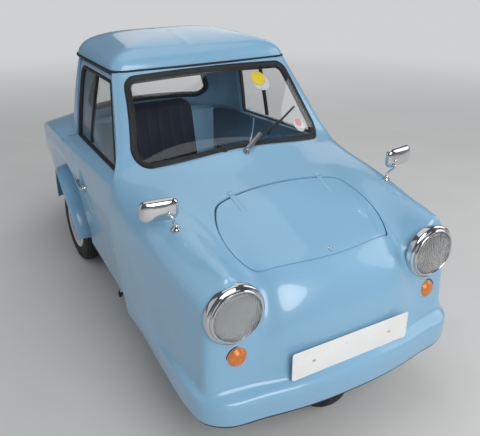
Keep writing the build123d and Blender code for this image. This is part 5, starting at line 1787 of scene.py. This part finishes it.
def pad(name, wide, tall, thick, radius):
    """Crowned closed pad about the origin: wide along X, tall along Y, thick along Z."""
    outline = resampled(rounded_box(wide / 2, tall / 2, radius, 8), 96)
    half = thick / 2
    layers = [(0.35, -half), (0.75, -half), (0.90, -half * 0.92), (0.97, -half * 0.6), (1.0, 0)]
    layers += [(0.97, half * 0.6), (0.90, half * 0.92), (0.75, half), (0.35, half)]
    return layered(name, layers, outline, (0, 0, 0), (1, 0, 0), (0, 1, 0), (0, 0, 1))


def channelled(obj, count, wide, depth, limit):
    """Presses sewn channels into the upper face of a pad that lies in the XY plane."""
    pitch = wide / count
    for v in obj.data.vertices:
        if v.co.z <= 0:
            continue
        near = abs((v.co.x / pitch) % 1 - 0.5)
        groove = math.exp(-(((0.5 - near) * pitch / 0.006) ** 2))
        inside = min(1.0, max(0.0, (wide / 2 - 0.02 - abs(v.co.x)) / 0.02))
        inside *= min(1.0, max(0.0, (limit - abs(v.co.y)) / 0.03))
        v.co.z -= depth * groove * inside


def make_seat(seat):
    """Padded cushion and back in grained vinyl, with sewn channels."""
    cushion = pad("seat_cushion_pad", SEAT_WIDE, 0.396, 0.088, 0.05)
    inflated(cushion, 3.0, 0.010)
    channelled(cushion, seat.channels, SEAT_WIDE, seat.channel_depth, 0.16)
    cushion.data.transform(Matrix.Translation(CUSHION_PLACE))
    finish(cushion, "car", "seat_vinyl", "seat_cushion")
    back = pad("seat_back_pad", SEAT_WIDE, 0.588, 0.070, 0.07)
    inflated(back, 3.0, 0.009)
    channelled(back, seat.channels, SEAT_WIDE, seat.channel_depth, 0.25)
    # The back's face looks forwards and a little up, with its middle part of the way up the lean
    s, c = math.sin(BACK_LEAN), math.cos(BACK_LEAN)
    back.data.transform(Matrix((
        (1, 0, 0, SEAT_X),
        (0, s, -c, BACK_FOOT[0] + BACK_UP * s + BACK_OUT * c),
        (0, c, s, BACK_FOOT[1] + BACK_UP * c - BACK_OUT * s),
        (0, 0, 0, 1),
    )))
    finish(back, "car", "seat_vinyl", "seat_back")


LEDGE_SECTION = [(-0.008, -0.008), (-0.008, 0.002), (-0.004, 0.0035), (0.004, 0.0035), (0.008, 0.002), (0.008, -0.008)]
ROD_PATH = [(-0.470, -0.30, 0.262), (-0.478, -0.28, 0.235), (-0.484, -0.25, 0.205), (-0.486, -0.235, 0.188)]
ROD_KNOB_PROFILE = [(0, -0.012), (0.009, -0.010), (0.011, -0.002), (0.011, 0.016), (0.008, 0.024), (0, 0.026)]


def make_edging():
    """Rubber edging along the foot of the bumper ledge."""
    flank = [FLANK_ROWS[j][-1] for j in range(3, 7)]
    half = [(x * MM, y * MM) for x, y, _ in flank + NOSE_ROWS[-1][::-1]]
    whole = half + [(-x, y) for x, y in reversed(half[:-1])]
    path = smooth_path([Vector((x, y, 0.2605)) for x, y in whole], 6)
    normals = []
    for i, p in enumerate(path):
        t = path[min(i + 1, len(path) - 1)] - path[max(i - 1, 0)]
        n = Vector((t.y, -t.x, 0)).normalized()
        normals.append(n if n.dot(Vector((p.x, p.y + 0.7, 0))) >= 0 else -n)
    strip = sweep("ledge_edging", path, normals, LEDGE_SECTION, False)
    smooth_by_angle(strip, 50)
    finish(strip, "car", "black_rubber", "edge_strip")


def make_rod():
    """Short rod with a knob below the near door."""
    finish(tube("heater_rod", ROD_PATH, 0.006), "car", "chrome")
    knob = turned("rod_knob", ROD_KNOB_PROFILE, (-0.486, -0.230, 0.180), (0.0, 0.35, -1), 24)
    finish(knob, "car", "black_rubber")


# Stage


def make_stage(stage):
    """Pale floor, soft studio light and the camera at the photograph's angle."""
    clear_selection()
    bpy.ops.mesh.primitive_plane_add(size=60, location=(0, 0, -0.0005))
    floor = bpy.context.object
    floor.name = "studio_floor"
    material, nodes, links, shade = shader("pale_floor")
    tone = noise(nodes, links, 1.5, 3.0)
    mix = ramp(
        nodes, links, tone.outputs["Fac"], [(0.4, scaled(stage.floor, 0.985)), (0.6, scaled(stage.floor, 1.015))]
    )
    links.new(mix.outputs["Color"], shade.inputs["Base Color"])
    shade.inputs["Roughness"].default_value = 0.9
    place = nodes.new("ShaderNodeTexCoord")
    reach = nodes.new("ShaderNodeVectorMath")
    reach.operation = "LENGTH"
    links.new(place.outputs["Object"], reach.inputs[0])
    fade = nodes.new("ShaderNodeMapRange")
    fade.interpolation_type = "SMOOTHSTEP"
    fade.inputs["From Min"].default_value = 2.6
    fade.inputs["From Max"].default_value = 8.0
    links.new(reach.outputs["Value"], fade.inputs["Value"])
    glow = nodes.new("ShaderNodeEmission")
    glow.inputs["Color"].default_value = (*stage.background, 1)
    blended = nodes.new("ShaderNodeMixShader")
    seen = nodes.new("ShaderNodeLightPath")
    far = nodes.new("ShaderNodeMath")
    far.operation = "MULTIPLY"
    links.new(fade.outputs["Result"], far.inputs[0])
    links.new(seen.outputs["Is Camera Ray"], far.inputs[1])
    links.new(far.outputs[0], blended.inputs[0])
    links.new(shade.outputs[0], blended.inputs[1])
    links.new(glow.outputs[0], blended.inputs[2])
    output = next(n for n in nodes if n.type == "OUTPUT_MATERIAL")
    links.new(blended.outputs[0], output.inputs["Surface"])
    floor.data.materials.append(material)
    for name, place, aim, size, power in (
        ("key_light", (-0.3, -4.4, 2.9), (0, -0.6, 0.6), 2.8, 104),
        ("fill_light", (3.6, -1.8, 2.4), (0, -0.2, 0.6), 3.2, 42),
        ("side_light", (-4.0, 0.4, 2.2), (0, 0, 0.6), 4.6, 26),
        ("top_light", (0.2, 0.4, 4.4), (0, 0, 0.6), 4.0, 30),
        ("rear_light", (3.0, 4.2, 3.2), (0, 0.4, 0.6), 5.0, 48),
    ):
        data = bpy.data.lights.new(name, "AREA")
        data.shape = "DISK"
        data.size = size
        data.energy = power * stage.light
        lamp = bpy.data.objects.new(name, data)
        bpy.context.collection.objects.link(lamp)
        lamp.location = place
        lamp.rotation_euler = (Vector(aim) - Vector(place)).to_track_quat("-Z", "Y").to_euler()
    world = bpy.data.worlds.new("studio_world")
    world.use_nodes = True
    nodes, links = world.node_tree.nodes, world.node_tree.links
    sky = nodes["Background"]
    sky.inputs["Color"].default_value = (0.80, 0.82, 0.85, 1)
    sky.inputs["Strength"].default_value = 0.46 * stage.light
    plain = nodes.new("ShaderNodeBackground")
    plain.inputs["Color"].default_value = (*stage.background, 1)
    dim = nodes.new("ShaderNodeBackground")
    dim.inputs["Color"].default_value = (0.10, 0.105, 0.115, 1)
    ray = nodes.new("ShaderNodeLightPath")
    mirrored_sky = nodes.new("ShaderNodeMixShader")
    links.new(ray.outputs["Is Glossy Ray"], mirrored_sky.inputs[0])
    links.new(sky.outputs[0], mirrored_sky.inputs[1])
    links.new(dim.outputs[0], mirrored_sky.inputs[2])
    chosen = nodes.new("ShaderNodeMixShader")
    links.new(ray.outputs["Is Camera Ray"], chosen.inputs[0])
    links.new(mirrored_sky.outputs[0], chosen.inputs[1])
    links.new(plain.outputs[0], chosen.inputs[2])
    links.new(chosen.outputs[0], nodes["World Output"].inputs["Surface"])
    bpy.context.scene.world = world
    bpy.context.scene.view_settings.view_transform = "Standard"
    data = bpy.data.cameras.new("photo_camera")
    data.lens = CAMERA_LENS
    data.sensor_width = 36
    data.clip_end = 200
    camera = bpy.data.objects.new("photo_camera", data)
    bpy.context.collection.objects.link(camera)
    camera.location = CAMERA_PLACE
    camera.rotation_euler = (math.radians(90 - CAMERA_PITCH), 0, math.radians(-CAMERA_YAW))
    bpy.context.scene.camera = camera


# Settings


def colour(name, text, value):
    """Colour setting."""
    return bpy.props.FloatVectorProperty(
        name=name, description=text, subtype="COLOR", size=3, min=0, max=1, default=value
    )


def length(name, text, value):
    """Length setting in metres."""
    return bpy.props.FloatProperty(name=name, description=text, subtype="DISTANCE", unit="LENGTH", min=0, default=value)


class ThreeWheelerBody(bpy.types.PropertyGroup):
    """Sizes of the body panels."""

    skin: length("Skin", "Thickness of the moulded body panels", 0.006)
    bead: length("Lid bead", "Radius of the rounded bead along the lids", 0.0032)


class ThreeWheelerFinish(bpy.types.PropertyGroup):
    """Colours of the car."""

    paint: colour("Body paint", "Light blue gloss paint of the body", (0.222, 0.432, 0.612))
    seat: colour("Seat vinyl", "Navy vinyl of the seat", (0.010, 0.014, 0.030))
    amber: colour("Indicator lens", "Amber of the front indicators", (0.62, 0.17, 0.010))
    red: colour("Tail lamp lens", "Red of the tail lamps", (0.55, 0.012, 0.012))
    wheel: colour("Wheel paint", "Silver paint of the wheels", (0.55, 0.56, 0.56))
    plate: colour("Number plate", "White of the blank plates", (0.82, 0.82, 0.80))


class ThreeWheelerWheels(bpy.types.PropertyGroup):
    """Sizes of the tyre tread."""

    tread_depth: length("Tread depth", "Depth of the grooves in the tyres", 0.0035)
    tread_blocks: bpy.props.IntProperty(
        name="Tread blocks", description="Shoulder blocks round a tyre", min=12, max=90, default=44
    )


class ThreeWheelerSeat(bpy.types.PropertyGroup):
    """Sizes of the seat's sewing."""

    channels: bpy.props.IntProperty(
        name="Channels", description="Sewn channels across the seat", min=1, max=14, default=7
    )
    channel_depth: length("Channel depth", "Depth of the sewn channels", 0.0035)


class ThreeWheelerStage(bpy.types.PropertyGroup):
    """Light and floor."""

    light: bpy.props.FloatProperty(name="Light", description="Level of the studio light", min=0, max=4, default=1.0)
    floor: colour("Floor", "Colour of the floor", (0.60, 0.60, 0.59))
    background: colour("Background", "Colour of the background", (0.62, 0.63, 0.64))


# Search trees of the surfaces that later steps place things on
TREES = {}


class THREEWHEELER_OT_finishes(bpy.types.Operator):
    """Makes the finishes and gives them to the CAD parts that stay"""

    bl_idname = "three_wheeler.finishes"
    bl_label = "Finishes"

    def execute(self, context):
        make_finishes(context.scene.three_wheeler_finish)
        dress_cad_nodes()
        return {"FINISHED"}


class THREEWHEELER_OT_front(bpy.types.Operator):
    """Makes the front body, the bonnet lid and the windscreen"""

    bl_idname = "three_wheeler.front"
    bl_label = "Front body"

    def execute(self, context):
        TREES["front"] = make_front_body(context.scene.three_wheeler_body)
        make_windscreen(TREES["front"])
        return {"FINISHED"}


class THREEWHEELER_OT_rear(bpy.types.Operator):
    """Makes the tail, the engine lid, the rear window and the mudguards"""

    bl_idname = "three_wheeler.rear"
    bl_label = "Rear body"

    def execute(self, context):
        make_tail(context.scene.three_wheeler_body)
        make_rear_house()
        make_mudguards()
        return {"FINISHED"}


class THREEWHEELER_OT_roof(bpy.types.Operator):
    """Makes the roof cap and its gutter"""

    bl_idname = "three_wheeler.roof"
    bl_label = "Roof"

    def execute(self, context):
        make_roof()
        make_gutter()
        return {"FINISHED"}


class THREEWHEELER_OT_doors(bpy.types.Operator):
    """Makes the doors with their windows and handles"""

    bl_idname = "three_wheeler.doors"
    bl_label = "Doors"

    def execute(self, context):
        make_doors()
        return {"FINISHED"}


class THREEWHEELER_OT_lamps(bpy.types.Operator):
    """Makes the lamps and indicators"""

    bl_idname = "three_wheeler.lamps"
    bl_label = "Lamps"

    def execute(self, context):
        make_lamps()
        return {"FINISHED"}


class THREEWHEELER_OT_trim(bpy.types.Operator):
    """Makes the number plate, mirrors, wiper, edging and rod"""

    bl_idname = "three_wheeler.trim"
    bl_label = "Trim"

    def execute(self, context):
        make_plates()
        make_mirrors()
        make_wiper(TREES["front"])
        make_edging()
        make_rod()
        return {"FINISHED"}


class THREEWHEELER_OT_wheels(bpy.types.Operator):
    """Makes the tyres and wheel caps"""

    bl_idname = "three_wheeler.wheels"
    bl_label = "Wheels"

    def execute(self, context):
        make_wheels(context.scene.three_wheeler_wheels)
        return {"FINISHED"}


class THREEWHEELER_OT_seat(bpy.types.Operator):
    """Makes the padded seat"""

    bl_idname = "three_wheeler.seat"
    bl_label = "Seat"

    def execute(self, context):
        make_seat(context.scene.three_wheeler_seat)
        return {"FINISHED"}


class THREEWHEELER_OT_stage(bpy.types.Operator):
    """Makes the floor, the studio light and the camera"""

    bl_idname = "three_wheeler.stage"
    bl_label = "Stage"

    def execute(self, context):
        make_stage(context.scene.three_wheeler_stage)
        return {"FINISHED"}


STEPS = ("stage", "finishes", "front", "rear", "roof", "doors", "lamps", "trim", "wheels", "seat")
SETTINGS = {
    "three_wheeler_body": ThreeWheelerBody,
    "three_wheeler_finish": ThreeWheelerFinish,
    "three_wheeler_wheels": ThreeWheelerWheels,
    "three_wheeler_seat": ThreeWheelerSeat,
    "three_wheeler_stage": ThreeWheelerStage,
}


class THREEWHEELER_PT_panel(bpy.types.Panel):
    """Sidebar panel that lists the steps and their settings"""

    bl_idname = "THREEWHEELER_PT_panel"
    bl_label = "Three wheeler"
    bl_space_type = "VIEW_3D"
    bl_region_type = "UI"
    bl_category = "Three wheeler"

    def draw(self, context):
        for step in STEPS:
            self.layout.operator(f"three_wheeler.{step}")
        for name, group in SETTINGS.items():
            box = self.layout.box()
            for key in group.__annotations__:
                box.prop(getattr(context.scene, name), key)


CLASSES = (
    *SETTINGS.values(),
    THREEWHEELER_OT_finishes,
    THREEWHEELER_OT_front,
    THREEWHEELER_OT_rear,
    THREEWHEELER_OT_roof,
    THREEWHEELER_OT_doors,
    THREEWHEELER_OT_lamps,
    THREEWHEELER_OT_trim,
    THREEWHEELER_OT_wheels,
    THREEWHEELER_OT_seat,
    THREEWHEELER_OT_stage,
    THREEWHEELER_PT_panel,
)


def register():
    for cls in CLASSES:
        bpy.utils.register_class(cls)
    for name, group in SETTINGS.items():
        setattr(bpy.types.Scene, name, bpy.props.PointerProperty(type=group))


def unregister():
    for name in SETTINGS:
        delattr(bpy.types.Scene, name)
    for cls in reversed(CLASSES):
        bpy.utils.unregister_class(cls)


def main():
    """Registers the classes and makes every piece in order."""
    register()
    for step in STEPS:
        clear_selection()
        getattr(bpy.ops.three_wheeler, step)()
    clear_selection()


if __name__ == "__main__":
    main()
